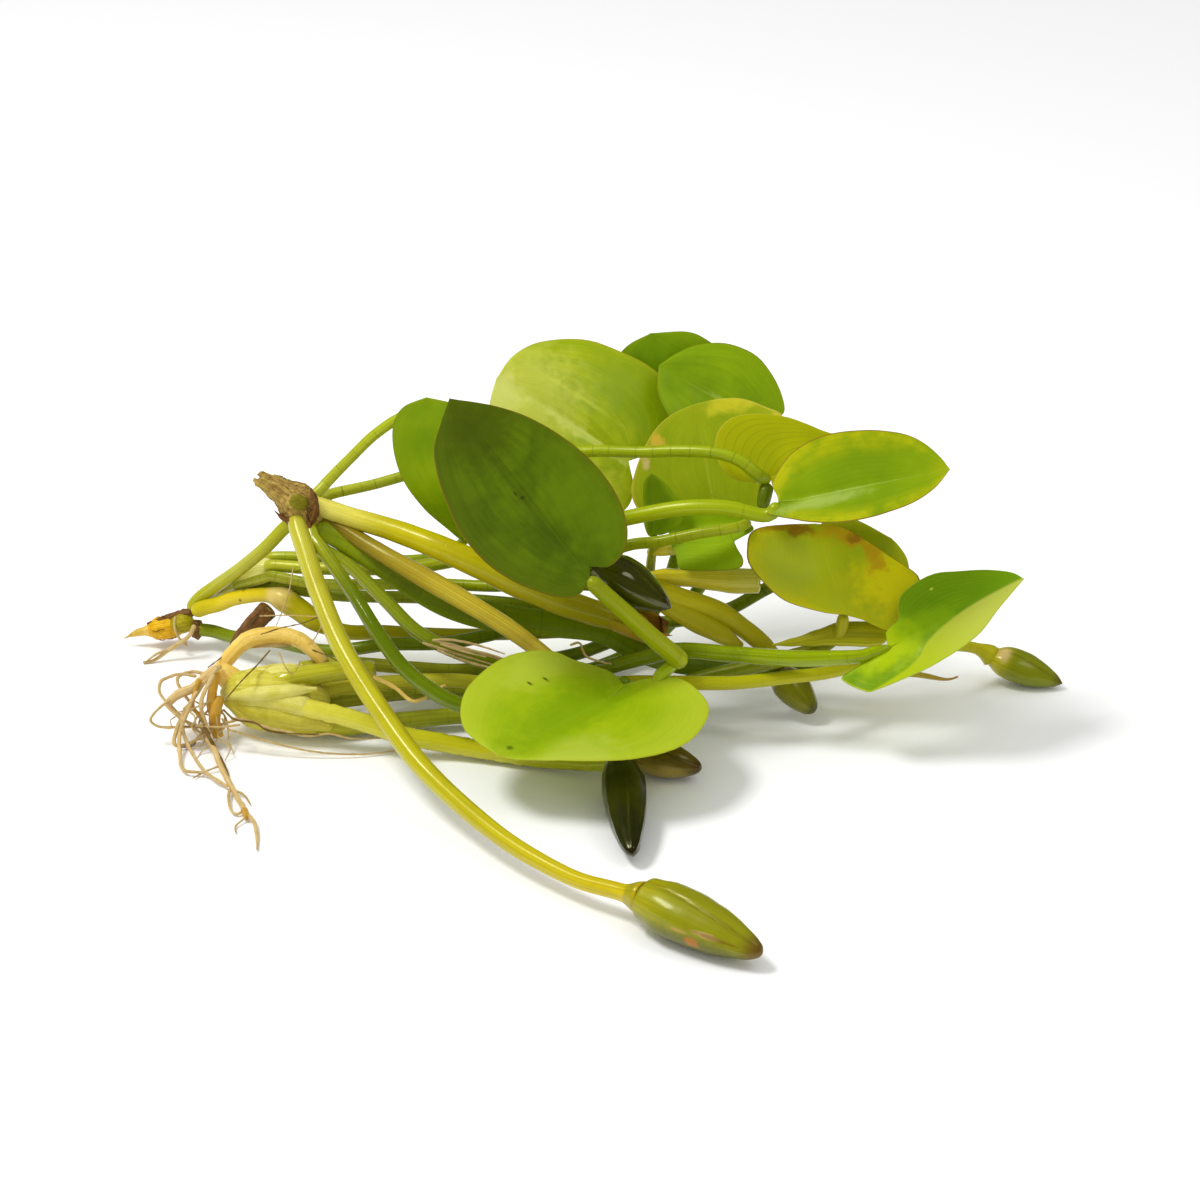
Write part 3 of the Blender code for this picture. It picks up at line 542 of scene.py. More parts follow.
def budMaterial(name, base, body, stripe, seam, tipColour, rough=0.28, coat=0.3, spots=(), seamWide=0.08,
                seamShow=0.5, tipFrom=0.82):
    material, tree, shader = newMaterial(name, rough, coat, 0.45)
    marks = placeGroup(tree, stemGroup, 7.0, noWalls, 1.0)
    share, within = attribute(tree, "share"), attribute(tree, "tone")
    colour = blend(tree, ramp(tree, share, 0.05, 0.35), base, body)
    colour = overlay(tree, colour, marks["Stripe"], 0.35, stripe)
    onSeam = ramp(tree, calc(tree, "PINGPONG", within, 0.5), seamWide, 0.0)
    colour = overlay(tree, colour, onSeam, seamShow, seam)
    colour = addSpots(tree, colour, spots)
    colour = blend(tree, ramp(tree, share, tipFrom, 0.99), colour, tipColour)
    colour = overlay(tree, colour, ramp(tree, share, 0.035, 0.005), 0.6, seam)
    finishMaterial(tree, shader, colour, marks["Height"], 0.25, 0.12)
    return material


def toneMaterial(name, looks, grainSize=1.6, bump=0.8, stripes=7.0):
    # One pair of colours and one gloss for each tone of the piece: light, dark, roughness
    material, tree, shader = newMaterial(name, looks[0][2], 0.0, 0.4)
    tone = attribute(tree, "tone")
    marks = placeGroup(tree, stemGroup, stripes, noWalls, 3.0)
    patchy = times(tree, mottle(tree, grainSize, 5.0, 0.35, 0.68), 0.5)
    grain = timesPlus(tree, marks["Stripe"], 0.5, patchy)
    light, dark, gloss = looks[0]
    colour = blend(tree, grain, light, dark)
    for number, (light, dark, rough) in enumerate(looks[1:], 1):
        reached = calc(tree, "GREATER_THAN", tone, number - 0.5)
        colour = blend(tree, reached, colour, blend(tree, grain, light, dark))
        gloss = timesPlus(tree, reached, calc(tree, "SUBTRACT", rough, gloss), gloss)
    fillSockets(tree, shader, {"Roughness": gloss})
    finishMaterial(tree, shader, colour, grain, bump, 0.3)
    return material


# Stems. A look gives the colours along the stem, of its stripes and of its cross walls

greenLook = dict(start=(190, 192, 50), middle=(160, 174, 8), end=(154, 170, 6), stripe=(122, 140, 6),
    wall=(70, 84, 4))
darkLook = dict(start=(160, 168, 36), middle=(104, 124, 5), end=(112, 134, 5), stripe=(76, 96, 3),
    wall=(44, 60, 2))
yellowLook = dict(start=(246, 236, 116), middle=(202, 190, 4), end=(190, 178, 6), stripe=(168, 152, 4),
    wall=(132, 116, 12))
paleLook = dict(start=(224, 216, 100), middle=(212, 206, 70), end=(184, 190, 30), stripe=(184, 184, 40),
    wall=(140, 140, 30), stripes=9.0)
brownLook = dict(start=(92, 82, 4), middle=(220, 198, 58), end=(236, 216, 100), stripe=(160, 132, 26),
    wall=(110, 84, 14))


def addStem(node, slotName, spec, look, *extra):
    # A spec with angles is a wrapped sheet, any other is a round stem; more parts come after the look
    grids = [wrapRings(**part) if "low" in part else stemRings(**part) for part in (spec, *extra)]
    addPiece(node, grids, stemMaterial, look)


addStem("peduncle_thick", "stem_yellow", dict(
    route=[(-61, 25.5, 41.5), (-57, 25.5, 40), (-55, 25, 39.5), (-51, 24, 38.5), (-41, 20, 37),
    (-31, 15, 35), (-20, 12, 31), (-12, 10, 28), (-8, 9, 26.5), (-3, 8.6, 24.8), (1, 8.6, 23.4),
    (6, 8.8, 22)], radii=(2.1, 2.1, 2.2, 2.4, 2.6, 2.8, 3.1, 2.9, 2.7, 2.2), ribs=(9, 0.012)),
    dict(yellowLook, stripes=9.0, stripeShow=0.3, middleAt=0.3, end=(146, 138, 3), coat=0.3))
addStem("peduncle_yellow", "stem_yellow", dict(
    route=[(-12, 12.5, 29), (-2, 14, 28.5), (10, 12.5, 27.5), (17, 13, 25), (24, 14, 22), (29, 15, 18),
    (34, 14, 14), (36.5, 12.3, 10.5)], radii=(1.2, 1.8, 2.3, 2.3, 2.2, 2.0, 1.7), ribs=(9, 0.012)),
    dict(yellowLook, start=(182, 170, 14), middle=(196, 186, 8), end=(184, 176, 12), other=(176, 168, 20),
    # the pale pink patch on the stem is a painted highlight
    middleAt=0.4, stripeShow=0.5, spots=[(0.2, 0.6, 0.1, 0.05, 1.6, (214, 176, 110), 0.6)]),
    dict(route=[(10, 10.4, 27), (14.1, 10.8, 24.6), (20, 11.3, 21), (25.2, 12, 17.6), (29.4, 12.6, 14.6)],
    radii=(1.4, 2.2, 2.5, 2.1, 0.7), flat=0.5, turn=65, ribs=(7, 0.03), tone=1))
addStem("pedicel_glossy", "stem_green", dict(
    route=[(-9.5, 7, 31.5), (-6.5, 4, 35), (-3, 2, 36.8), (-1, 1, 37.2)], radii=(1.2, 1.1, 1.3)),
    greenLook)
addStem("petiole_rolled", "stem_green", dict(
    route=[(-60, 26, 41.5), (-57.5, 27, 43.5), (-56, 28, 45), (-51, 29, 50), (-46, 29, 55), (-40, 29, 59),
    (-33, 29, 60.5), (-25, 28.5, 58), (-16, 27.5, 54.2), (-8.2, 26.5, 52.1), (0, 25, 52.9),
    (8.1, 22.5, 53.7), (16.2, 19.5, 55.2), (23.2, 17, 55.8), (28.2, 15, 54.9), (31.6, 14, 52.4),
    (34, 15.6, 50.2)], radii=(1.2, 1.1, 1.1, 1.15, 1.2, 1.2, 1.2, 1.25, 1.35)),
    dict(greenLook, wallShow=0.55, walls=4.2, middleAt=0.35, middle=(170, 184, 6), end=(148, 164, 4),
    other=(80, 96, 6)),
    dict(route=[(33.8, 15, 50), (33.2, 13.2, 48), (32.6, 12, 45.5)], radii=(1.5, 1.45, 1.2), tone=1))
addStem("petiole_bright_back", "stem_green", dict(
    route=[(-60, 28, 40), (-57, 30, 40.5), (-55, 31, 41), (-47, 32, 42.5), (-39, 33, 44.5), (-33, 34, 45.5),
    (-21, 35, 46), (-6, 36, 44.5), (3, 36, 42), (6, 37.3, 44)], radii=(1.2, 1.1, 1.15, 1.2, 1.2, 1.1)),
    dict(greenLook, wallShow=0.55, walls=3.6, seed=3.0))
addStem("peduncle_front", "stem_yellow", dict(
    route=[(-62.4, 24, 39), (-61.8, 21, 37.3), (-60.4, 17, 35), (-57, 7, 30), (-51, -7, 23), (-42, -21, 15),
    (-33, -34, 9.5), (-19, -52, 6), (-6, -65, 4.8), (3, -71.6, 5.4), (8, -75.1, 5.8)],
    radii=(2.0, 2.0, 2.05, 2.05, 2.0, 1.9, 1.75, 1.6, 1.7), ribs=(8, 0.02), flare=(5, 3.2),
    blunt=(1, 0.12)),
    dict(yellowLook, start=(196, 192, 60), middle=(190, 184, 16), end=(212, 190, 10), stripeShow=0.5,
    stripe=(156, 140, 8), stripes=9.0, coat=0.3,
    spots=[(0.6, 0.985, 3.0, 0.012, 0.8, (140, 134, 10), 0.7)]))
addStem("petiole_folded", "stem_dark", dict(
    route=[(-60, 24.5, 37.5), (-58.5, 22.5, 34.2), (-57, 21.5, 32.5), (-51, 18, 30), (-44, 13, 25),
    (-37, 8, 20), (-28, 6, 16), (-18, 8, 12), (-8, 8.5, 10.5), (0, 7.5, 12), (8, 6, 15), (16, 3.5, 18),
    (26, 1, 18.5), (39, -2.5, 19.2), (50.9, -4.2, 20.4), (54.6, -3.8, 21.2), (58.5, -3.2, 22.2)],
    radii=(1.4, 1.4, 1.45, 1.5, 1.6, 1.7, 1.7, 1.2), blunt=(1, 4)),
    dict(darkLook, coat=0.5, rough=0.16, middle=(110, 128, 4), end=(156, 176, 4), middleAt=0.45,
    wallShow=0.2, walls=5.0))
addStem("petiole_front", "stem_green", dict(
    route=[(-60, 24, 38), (-58.8, 20, 35.8), (-57, 17.5, 34.5), (-50, 9, 28), (-45, 2, 23), (-40, -3, 18),
    (-34, -7, 14.5), (-28, -9, 12), (-18, -9, 9), (-7, -7, 8.5), (1, -6, 11), (4.5, -6, 14.5),
    (5, -6.8, 16.8)], radii=(1.4, 1.4, 1.5, 1.6, 1.6, 1.5, 1.4)),
    dict(darkLook, start=(180, 182, 40), middle=(100, 120, 4), end=(120, 146, 6), coat=0.6, rough=0.16,
    middleAt=0.3, other=(172, 194, 14)),
    dict(route=[(15.6, -4.6, 19.4), (13.6, -5.2, 18.2), (12, -6, 17), (10.8, -7.4, 15.5)],
    radii=(0.9, 1.3, 1.4, 0.7), tone=1))
addStem("stalk_broad", "stem_dark", dict(
    route=[(-58.5, 22.5, 37), (-54, 22.5, 34.8), (-50, 21.8, 33), (-45, 20.5, 30.4), (-36, 18, 25),
    (-29, 15, 22.5), (-21, 13, 21), (-10, 12, 20), (0, 12, 18.5), (8, 12, 14), (17, 13, 10.5),
    (32, 15, 8.5), (43.5, 15.5, 8), (45.5, 15.6, 8)], radii=(2.0, 3.2, 3.3, 3.1, 2.8, 2.6, 2.3, 2.0, 1.6),
    flat=0.45, turn=65),
    dict(darkLook, start=(150, 164, 12), middle=(124, 146, 5), end=(104, 130, 3), middleAt=0.3,
    stripe=(92, 116, 3), wallShow=0.3, walls=3.6, seed=5.0, stripes=4.0))
addStem("peduncle_brown", "stem_brown", dict(
    route=[(-58, 25, 37.4), (-53, 23.6, 36), (-47.5, 20, 34), (-41, 15.5, 32), (-28.5, 9.5, 27),
    (-19, 6.5, 22), (-12, 5, 17), (-7, 2.5, 13.5), (0, -2, 8), (5, -9, 5), (7.5, -14, 4.6),
    (8.8, -15.6, 4.6)], radii=(1.5, 1.8, 2.1, 1.9, 1.6, 1.5, 1.4), ribs=(10, 0.02)),
    dict(brownLook, stripeShow=0.6, stripes=10.0, middleAt=0.45))
addStem("stolon_link", "stem_green", dict(
    route=[(-61, 26.5, 38.4), (-63, 28, 36.2), (-65.5, 29, 34), (-70, 31, 28.5), (-76, 36, 21.5),
    (-81.5, 41, 15.5), (-86, 43.5, 11), (-88, 43.5, 8)], radii=(1.4, 1.4, 1.4, 1.45, 1.5), ribs=(7, 0.03)),
    dict(greenLook, start=(176, 178, 20), middle=(188, 186, 26), end=(178, 176, 24), stripeShow=0.45,
    stripe=(140, 146, 6), stripes=9.0))
addStem("petiole_small", "stem_yellow", dict(
    route=[(-87.4, 41.5, 8.8), (-84.3, 41, 10.2), (-81.3, 40, 11.4), (-77.3, 37.5, 14), (-71, 33.5, 16.6),
    (-67, 31.5, 16.6), (-63, 30, 14.6), (-59, 28, 12.5), (-53, 28, 10.5), (-46, 29, 10), (-36, 29, 9.5),
    (-21, 29, 9.5), (-8, 30, 9.5), (2, 31, 10), (8, 30, 13), (10, 25, 21.5), (10.5, 21, 30),
    (11, 18.5, 35.5), (11, 17.6, 37.3)],
    radii=(1.7, 1.6, 1.5, 1.6, 1.6, 1.5, 1.3, 1.25, 1.2, 1.2, 1.1, 1.0, 0.9), swell=[(25, 2.5, 0.8),
    (30, 5, 0.8)]),
    dict(yellowLook, start=(200, 186, 10), middle=(170, 166, 10), end=(136, 152, 6), middleAt=0.45,
    spots=[(0.5, 0.115, 3.0, 0.08, 0.6, (222, 198, 24), 0.9),
    (0.5, 0.185, 3.0, 0.02, 1.2, (232, 204, 120), 0.85)]
    + [(around, along, 0.05, 0.004, 1.2, (110, 70, 16), 0.85) for around, along in (
        (0.2, 0.1), (0.35, 0.11), (0.6, 0.105), (0.8, 0.118), (0.05, 0.112), (0.28, 0.125), (0.7, 0.13),
        (0.45, 0.132))]))
addStem("petiole_orange_rim", "stem_green", dict(
    route=[(-87, 42, 4.5), (-83, 41, 4.5), (-78, 37, 5), (-69, 31, 7), (-57, 23, 8.5), (-44, 21, 11),
    (-31, 22, 11), (-17, 26, 12.5), (-3, 32, 14), (14, 38, 15.5), (21, 36, 27), (24, 29, 35),
    (24.2, 28.2, 37)], radii=(1.4, 1.4, 1.4, 1.4, 1.3, 1.2)),
    dict(darkLook, start=(136, 150, 12), middle=(118, 138, 8), end=(126, 148, 8), wallShow=0.35))
addStem("petiole_right", "stem_green", dict(
    route=[(-78, 42, 15.5), (-71, 38.3, 20.5), (-69, 37.5, 21.5), (-59, 35, 22), (-42, 32, 23.5),
    (-31, 29, 26.5), (-19, 22, 33), (-6, 15, 39.5), (5, 11, 44), (16, 8, 47.5), (25, 6, 48.5),
    (33, 4.5, 47.5), (35.6, 4.5, 50)], radii=(1.3, 1.35, 1.45, 1.5, 1.5, 1.6, 1.6, 1.4)),
    dict(greenLook, start=(196, 194, 50), middle=(176, 186, 6), end=(156, 172, 2), walls=9.0, wallShow=0.2))
addStem("petiole_mid", "stem_green", dict(
    route=[(-78, 41, 15), (-71, 35.5, 19.5), (-69, 34.5, 20.5), (-61, 31, 20.5), (-52, 28, 21.5),
    (-35, 24, 23.5), (-18, 20, 25), (-6, 17, 30), (5, 14, 36.5), (12, 13, 38), (20, 11.5, 40.5),
    (27.5, 11, 42), (30.2, 13.6, 42)], radii=(1.1, 1.15, 1.2, 1.2, 1.2, 1.1)),
    dict(greenLook, wallShow=0.5, walls=3.2, seed=7.0, end=(164, 174, 20)))
addStem("petiole_behind_right", "stem_dark", dict(
    route=[(-78, 41.5, 13.5), (-70, 37.5, 16.5), (-68, 36.5, 17.5), (-62, 33.5, 17.5), (-53, 31, 17.5),
    (-36, 29, 18), (-22, 27, 18), (-5, 25, 17), (10, 23, 15), (25, 22, 18), (34, 20.5, 23.8),
    (43, 18.8, 29.8), (45, 18.8, 32)], radii=(1.3, 1.3, 1.3, 1.35, 1.4)),
    dict(darkLook, middle=(126, 140, 8), end=(104, 126, 4), wallShow=0.45, walls=3.0, seed=9.0))
addStem("petiole_far_left", "stem_green", dict(
    route=[(-78, 43, 16), (-71, 41.5, 21), (-69, 41, 22), (-59, 39.5, 22.5), (-42, 37, 23), (-33, 33, 26),
    (-28.1, 29.3, 31.2), (-26.5, 28, 34.3)], radii=(1.1, 1.2, 1.2, 1.1, 1.0)),
    dict(greenLook, wallShow=0.25))
addStem("peduncle_dark", "crown_pale", dict(
    route=[(-63, -1.5, 9), (-60, -3, 8.5), (-52, -5, 7.5), (-46, -6, 6), (-39, -8, 4.5), (-28, -9, 2.8),
    (-14, -13, 2.2), (-2, -17, 3), (3.5, -21, 5), (4.3, -22.8, 5.3)],
    radii=(2.0, 1.9, 1.9, 1.9, 1.8, 1.6, 1.4), rough=(0.12, 2.0)),
    dict(paleLook, start=(224, 216, 80), end=(164, 178, 6), middle=(200, 196, 20), stripe=(186, 180, 20),
    coat=0.6, rough=0.16))
addStem("petiole_mottled", "stem_green", dict(
    route=[(-63, 0.5, 4.5), (-60, 0, 3.5), (-52, 0, 2.5), (-44, 2, 2.5), (-29, 4, 3), (-16, 5, 3),
    (0, 7, 4), (12, 8, 6), (20, 8.5, 9), (32, 8, 12.5), (40, 8.5, 14.5), (46, 8.2, 17), (48.4, 7.4, 20),
    (49, 5.2, 23.2), (48.9, 4.4, 24.6)], radii=(1.9, 1.8, 1.7, 1.7, 1.65, 1.6, 1.2)),
    dict(darkLook, start=(200, 196, 50), middle=(118, 138, 6), end=(140, 142, 12), wallShow=0.2,
    other=(178, 172, 16)),
    dict(route=[(35, 6.6, 17.8), (40.7, 6.4, 18.8), (45.1, 6.2, 19.8), (48.7, 6, 20.6), (53.2, 5.6, 20.8),
    (58.6, 5, 20.8)], radii=(0.2, 0.9, 1.7, 2.5, 2.6, 1.9), flat=0.35, turn=65, tone=1, ribs=(9, 0.03)),
    dict(route=[(49.1, 4.6, 25.6), (49.1, 5, 23.8), (48.6, 5.6, 21), (47, 6.2, 19)],
    radii=(1.2, 1.3, 1.2, 0.3), tone=1))
addStem("peduncle_right", "stem_green", dict(
    route=[(-62, 4.5, 7.5), (-60, 5, 7.5), (-53, 7, 8), (-45, 9, 8), (-29, 9, 8.5), (-12, 7, 7),
    (-3, 6.5, 8), (5, 3, 11), (16, -2, 13.5), (27, -3, 14), (38, -0.5, 14), (47, 3, 13.5), (60, 13, 12),
    (71, 21, 10.5), (77, 24.5, 8.8), (81, 25.9, 6.9), (82.6, 25.9, 5.6)],
    radii=(1.6, 1.5, 1.5, 1.5, 1.5, 1.4, 1.3, 1.2, 1.2), ribs=(8, 0.02), flare=(5, 2.3), blunt=(1, 0.2)),
    dict(yellowLook, start=(208, 204, 60), middle=(176, 178, 6), end=(182, 178, 8), wallShow=0.2, walls=6.0,
    stripes=8.0))
addStem("petiole_back_left", "stem_green", dict(
    route=[(-62, 8, 11.5), (-60, 9, 11.5), (-52, 14, 10), (-39, 15, 8.5), (-29, 17, 7), (-17, 23, 5.5),
    (-2, 31, 5), (11, 40, 9), (17, 47, 22), (20, 51, 34), (20, 51, 42), (19.6, 51.4, 44)],
    radii=(1.5, 1.4, 1.4, 1.4, 1.3, 1.2)),
    dict(darkLook, start=(200, 196, 60), middle=(120, 136, 6), end=(126, 146, 6), wallShow=0.3, seed=11.0))
addStem("petiole_back_right", "stem_green", dict(
    route=[(-62, 6, 4.5), (-60, 7, 4), (-52, 9, 4), (-41, 12, 4), (-29, 14, 3.5), (-15, 19, 3), (0, 27, 3),
    (13, 37, 6), (24, 44, 18), (32, 46, 35), (34, 44, 49), (34, 44, 51)],
    radii=(1.5, 1.4, 1.4, 1.4, 1.3, 1.2)),
    dict(darkLook, start=(200, 196, 60), middle=(112, 130, 6), end=(126, 146, 6), wallShow=0.3, seed=13.0))
addStem("petiole_dark_front", "stem_green", dict(
    route=[(-2, -8.2, 39.6), (-1, -8, 38), (4, -8, 33), (10, -7, 26.5), (14.4, -5.2, 21.6),
    (16.8, -4.2, 18.6)], radii=(1.6, 1.7, 1.8, 1.9, 2.1)),
    dict(greenLook, start=(138, 146, 10), middle=(152, 160, 8), end=(166, 172, 6), wallShow=0.2, walls=6.0))
addStem("sheath_cut", "crown_pale", dict(
    route=[(-68, 2, 10.5), (-63, 2.5, 12), (-60, 3, 12.5), (-53, 4.5, 13), (-46, 5, 13)],
    radii=(1.8, 2.4, 2.2, 2.1, 1.9, 1.9), blunt=(1, 0.2), ribs=(9, 0.03), ragged=(0, 0.5), hollow=(0, 0.8)),
    dict(paleLook, start=(204, 198, 60), middle=(196, 192, 50), end=(176, 172, 24), stripeShow=0.6,
    coat=0.6, rough=0.16, stripe=(166, 164, 20), stripes=11.0))
addStem("sheath_yellow", "stem_yellow", dict(
    route=[(9, 16.2, 28.6), (11, 16.8, 28.4), (18, 17.6, 27.8), (26, 17.6, 27.2), (32.8, 17.4, 27.2)],
    radii=(0.9, 1.8, 1.8, 2.2, 2.6, 2.5), blunt=(1, 0.2), ribs=(6, 0.04), ragged=(0, 0.4), hollow=(0, 1.0)),
    dict(yellowLook, start=(214, 200, 30), middle=(228, 212, 60), end=(216, 212, 90), stripeShow=0.5,
    coat=0.7, rough=0.16, stripes=9.0),
    dict(route=[(9.6, 20, 32.4), (12.5, 19.6, 33.2), (15.8, 20, 32.8)], radii=(0.8, 1.3, 0.9)))
addStem("bract_pointed", "stem_yellow", dict(
    route=[(43.5, 15.5, 8), (45, 15.6, 8), (56, 16, 7.5), (66, 17, 6), (72, 17.5, 4.6), (74.6, 17.6, 5.2)],
    radii=(1.5, 1.5, 1.3, 0.8, 0.25), flat=0.7, ribs=(5, 0.1)),
    dict(yellowLook, start=(150, 150, 14), middle=(184, 168, 50), end=(170, 120, 70), stripeShow=0.7,
    middleAt=0.6, rough=0.35, stripes=8.0))
addStem("bract_brown", "stem_brown", dict(
    route=[(-2, 8.8, 24.6), (2, 8.8, 23.4), (6, 8.8, 22), (10, 8.8, 20.8), (13.6, 8.8, 19.6)],
    radii=(1.3, 2.4, 2.9, 3.2, 3.0), low=(10, 0, 0, -10), high=(300, 290, 260, 230), teeth=2.6, crinkle=0.2,
    thick=0.4),
    dict(brownLook, start=(158, 152, 10), middle=(168, 142, 14), end=(186, 128, 50), middleAt=0.6,
    stripeShow=0.5, rough=0.4, coat=0.1, stripes=9.0, stripe=(150, 116, 24)),
    dict(route=[(1, 8.8, 23.8), (4, 9, 22.8), (7, 9.2, 21.8), (10, 9.2, 20.8)], radii=(1.2, 2.2, 2.2, 1.2),
    rough=(0.1, 2)))
addStem("sheath_left", "crown_pale", dict(
    route=[(-86.5, 45.5, 9), (-84, 46, 11), (-78, 43, 15.5), (-72, 39.5, 19.5), (-69.5, 38, 20.5)],
    radii=(1.4, 1.6, 2.0, 2.5, 2.6, 2.2), blunt=(1, 0.3), ribs=(6, 0.06), hollow=(0, 1)),
    dict(paleLook, start=(190, 190, 40), middle=(218, 214, 90), end=(238, 232, 150), stripeShow=0.6,
    stripe=(180, 184, 40)))
print("stems done")

# Leaf blades. A look gives the colours of the skin, its edge, its veins, its rim and its underside.
# A spot is (share of length, share of half width, their half sizes, raggedness, colour, strength); some spots
# are marks of the blade and some are painted sheen or painted shade

brightLeaf = dict(light=(164, 184, 8), deep=(140, 166, 4), edge=(170, 188, 24), vein=(190, 202, 50),
    rib=(208, 216, 100), rim=(160, 156, 20), under=(180, 190, 50))
midLeaf = dict(light=(126, 158, 3), deep=(102, 138, 2), edge=(130, 160, 4), vein=(150, 176, 20),
    rib=(172, 190, 60), rim=(120, 124, 10), under=(150, 166, 30))
darkLeaf = dict(light=(90, 114, 3), deep=(66, 88, 2), edge=(84, 102, 5), vein=(106, 128, 12),
    rib=(110, 124, 16), rim=(110, 88, 20), under=(136, 150, 40))
yellowLeaf = dict(light=(168, 174, 10), deep=(150, 160, 10), edge=(190, 180, 10), vein=(190, 188, 50),
    rib=(190, 190, 60), rim=(150, 110, 24), under=(176, 176, 60))


def addLeaf(node, spec, look):
    addPiece(node, [leafRings(**spec)], leafMaterial, look)


addLeaf("leaf_far_left", dict(
    base=(-26.5, 28, 34.5), tip=(-35, 26, 65), width=25, face=(-0.2, -0.9, 0.3), roll=30, bend=0.05,
    plus=[(-0.08, 0.2), (0.04, 0.42), (0.22, 0.68), (0.44, 0.84), (0.66, 0.83), (0.86, 0.68), (0.97, 0.42)],
    minus=[(-0.08, -0.2), (0.04, -0.45), (0.25, -0.75), (0.5, -0.88), (0.72, -0.74), (0.9, -0.45)]),
    dict(midLeaf, light=(172, 198, 8), deep=(128, 166, 3), edge=(146, 174, 6), rim=(140, 144, 14)))
addLeaf("leaf_dark_front", dict(
    base=(-2, -8, 39.5), tip=(-30, 12, 69), width=34, face=(0.3, -0.85, 0.35), roll=35, bend=0.04,
    minus=[(0.04, -0.1), (-0.01, -0.25), (0, -0.5), (0.08, -0.72), (0.22, -0.86), (0.4, -0.88),
    (0.58, -0.77), (0.74, -0.58), (0.87, -0.33)], plus=[(-0.03, 0.2), (0, 0.4), (0.09, 0.6), (0.2, 0.78),
    (0.33, 0.9), (0.48, 0.92), (0.62, 0.83), (0.75, 0.7), (0.86, 0.52), (0.94, 0.24)],
    waves=(0.6, 3.0, 1.0), groove=(0.5, 1.6)),
    dict(darkLeaf, rimWide=0.03, rough=0.46, coat=0, shine=0.16, cloudSize=9.0, streakShow=0.5,
    edgeFrom=(0.5, 1.1), spots=[(0.28, -0.5, 0.35, 0.4, 1.0, (98, 126, 4), 0.5),
    (0.85, 0, 0.2, 0.5, 1.2, (66, 78, 4), 0.6), (0.45, 0.02, 0.4, 0.07, 1.8, (54, 74, 2), 0.4),
    (0.46, 0.04, 0.008, 0.03, 2.5, (40, 44, 4), 0.7), (0.49, 0.08, 0.014, 0.012, 2.5, (40, 44, 4), 0.6)]))
addLeaf("leaf_bright_back", dict(
    base=(6, 37.5, 45.5), tip=(-21, 40, 65), width=38, face=(0.1, -0.7, 0.7), roll=-20, bend=-0.08,
    minus=[(-0.12, -0.3), (-0.18, -0.62), (-0.13, -0.92), (0.02, -1.08), (0.22, -1.12), (0.42, -1.06),
    (0.6, -0.97), (0.76, -0.78), (0.89, -0.54), (0.96, -0.26)], plus=[(-0.12, 0.25), (-0.14, 0.5),
    (-0.02, 0.8), (0.2, 0.98), (0.45, 1), (0.68, 0.86), (0.85, 0.6), (0.93, 0.3)], end=(0.97, 0.05),
    groove=(0.6, 1.6)),
    dict(brightLeaf, light=(176, 188, 10), deep=(134, 158, 3), edge=(160, 176, 16), ribShow=0.6, rough=0.36,
    streakShow=0.6, cloudSize=10.0, veinShow=0.2, coat=0.08, shine=0.25,
    # every spot here is painted light: a dark patch near the stalk on one side is painted shade, a pale patch
    # near the stalk on the other side is painted light lifting the shaded part, two pale patches towards the
    # tip are painted sheen, and two thin pale streaks along the midrib are painted highlights
    spots=[(0.1, -0.7, 0.42, 0.5, 1.0, (128, 156, 2), 0.6),
    (0.15, 0.55, 0.3, 0.35, 1.4, (204, 212, 60), 0.55), (0.8, 0.1, 0.42, 0.75, 1.2, (204, 208, 80), 0.65),
    (0.9, 0.2, 0.16, 0.3, 1.6, (226, 228, 130), 0.5), (0.35, 0.05, 0.34, 0.06, 2.2, (212, 220, 110), 0.45),
    (0.5, -0.3, 0.3, 0.03, 2.2, (200, 208, 70), 0.4)]))
addLeaf("leaf_back_left", dict(
    base=(19.5, 51.5, 44), tip=(12, 57, 67), width=27, face=(-0.1, -0.8, 0.4), roll=25,
    minus=[(-0.08, -0.2), (-0.02, -0.5), (0.15, -0.8), (0.4, -0.96), (0.62, -0.93), (0.8, -0.72),
    (0.92, -0.45)], plus=[(-0.08, 0.2), (0, 0.5), (0.18, 0.82), (0.42, 0.97), (0.66, 0.92), (0.86, 0.75),
    (0.96, 0.5)], end=(1, 0.1)),
    dict(midLeaf, light=(122, 158, 2), deep=(100, 138, 1)))
addLeaf("leaf_back_right", dict(
    base=(34, 44, 51), tip=(12, 51, 65), width=26, face=(0.1, -0.7, 0.6), roll=20, minus=[(-0.05, -0.2),
    (-0.08, -0.4), (0.02, -0.61), (0.16, -0.77), (0.34, -0.88), (0.53, -0.82), (0.67, -0.67), (0.79, -0.43),
    (0.87, -0.12)], plus=[(-0.06, 0.2), (0, 0.45), (0.15, 0.72), (0.38, 0.88), (0.6, 0.85), (0.8, 0.6)],
    end=(0.92, 0.2)),
    dict(midLeaf, light=(134, 164, 3), deep=(100, 134, 2), ribShow=0.5,
    # the pale streak along the midrib near the stalk is a painted highlight
    spots=[(0.2, 0.06, 0.25, 0.05, 2.0, (196, 210, 120), 0.5)]))
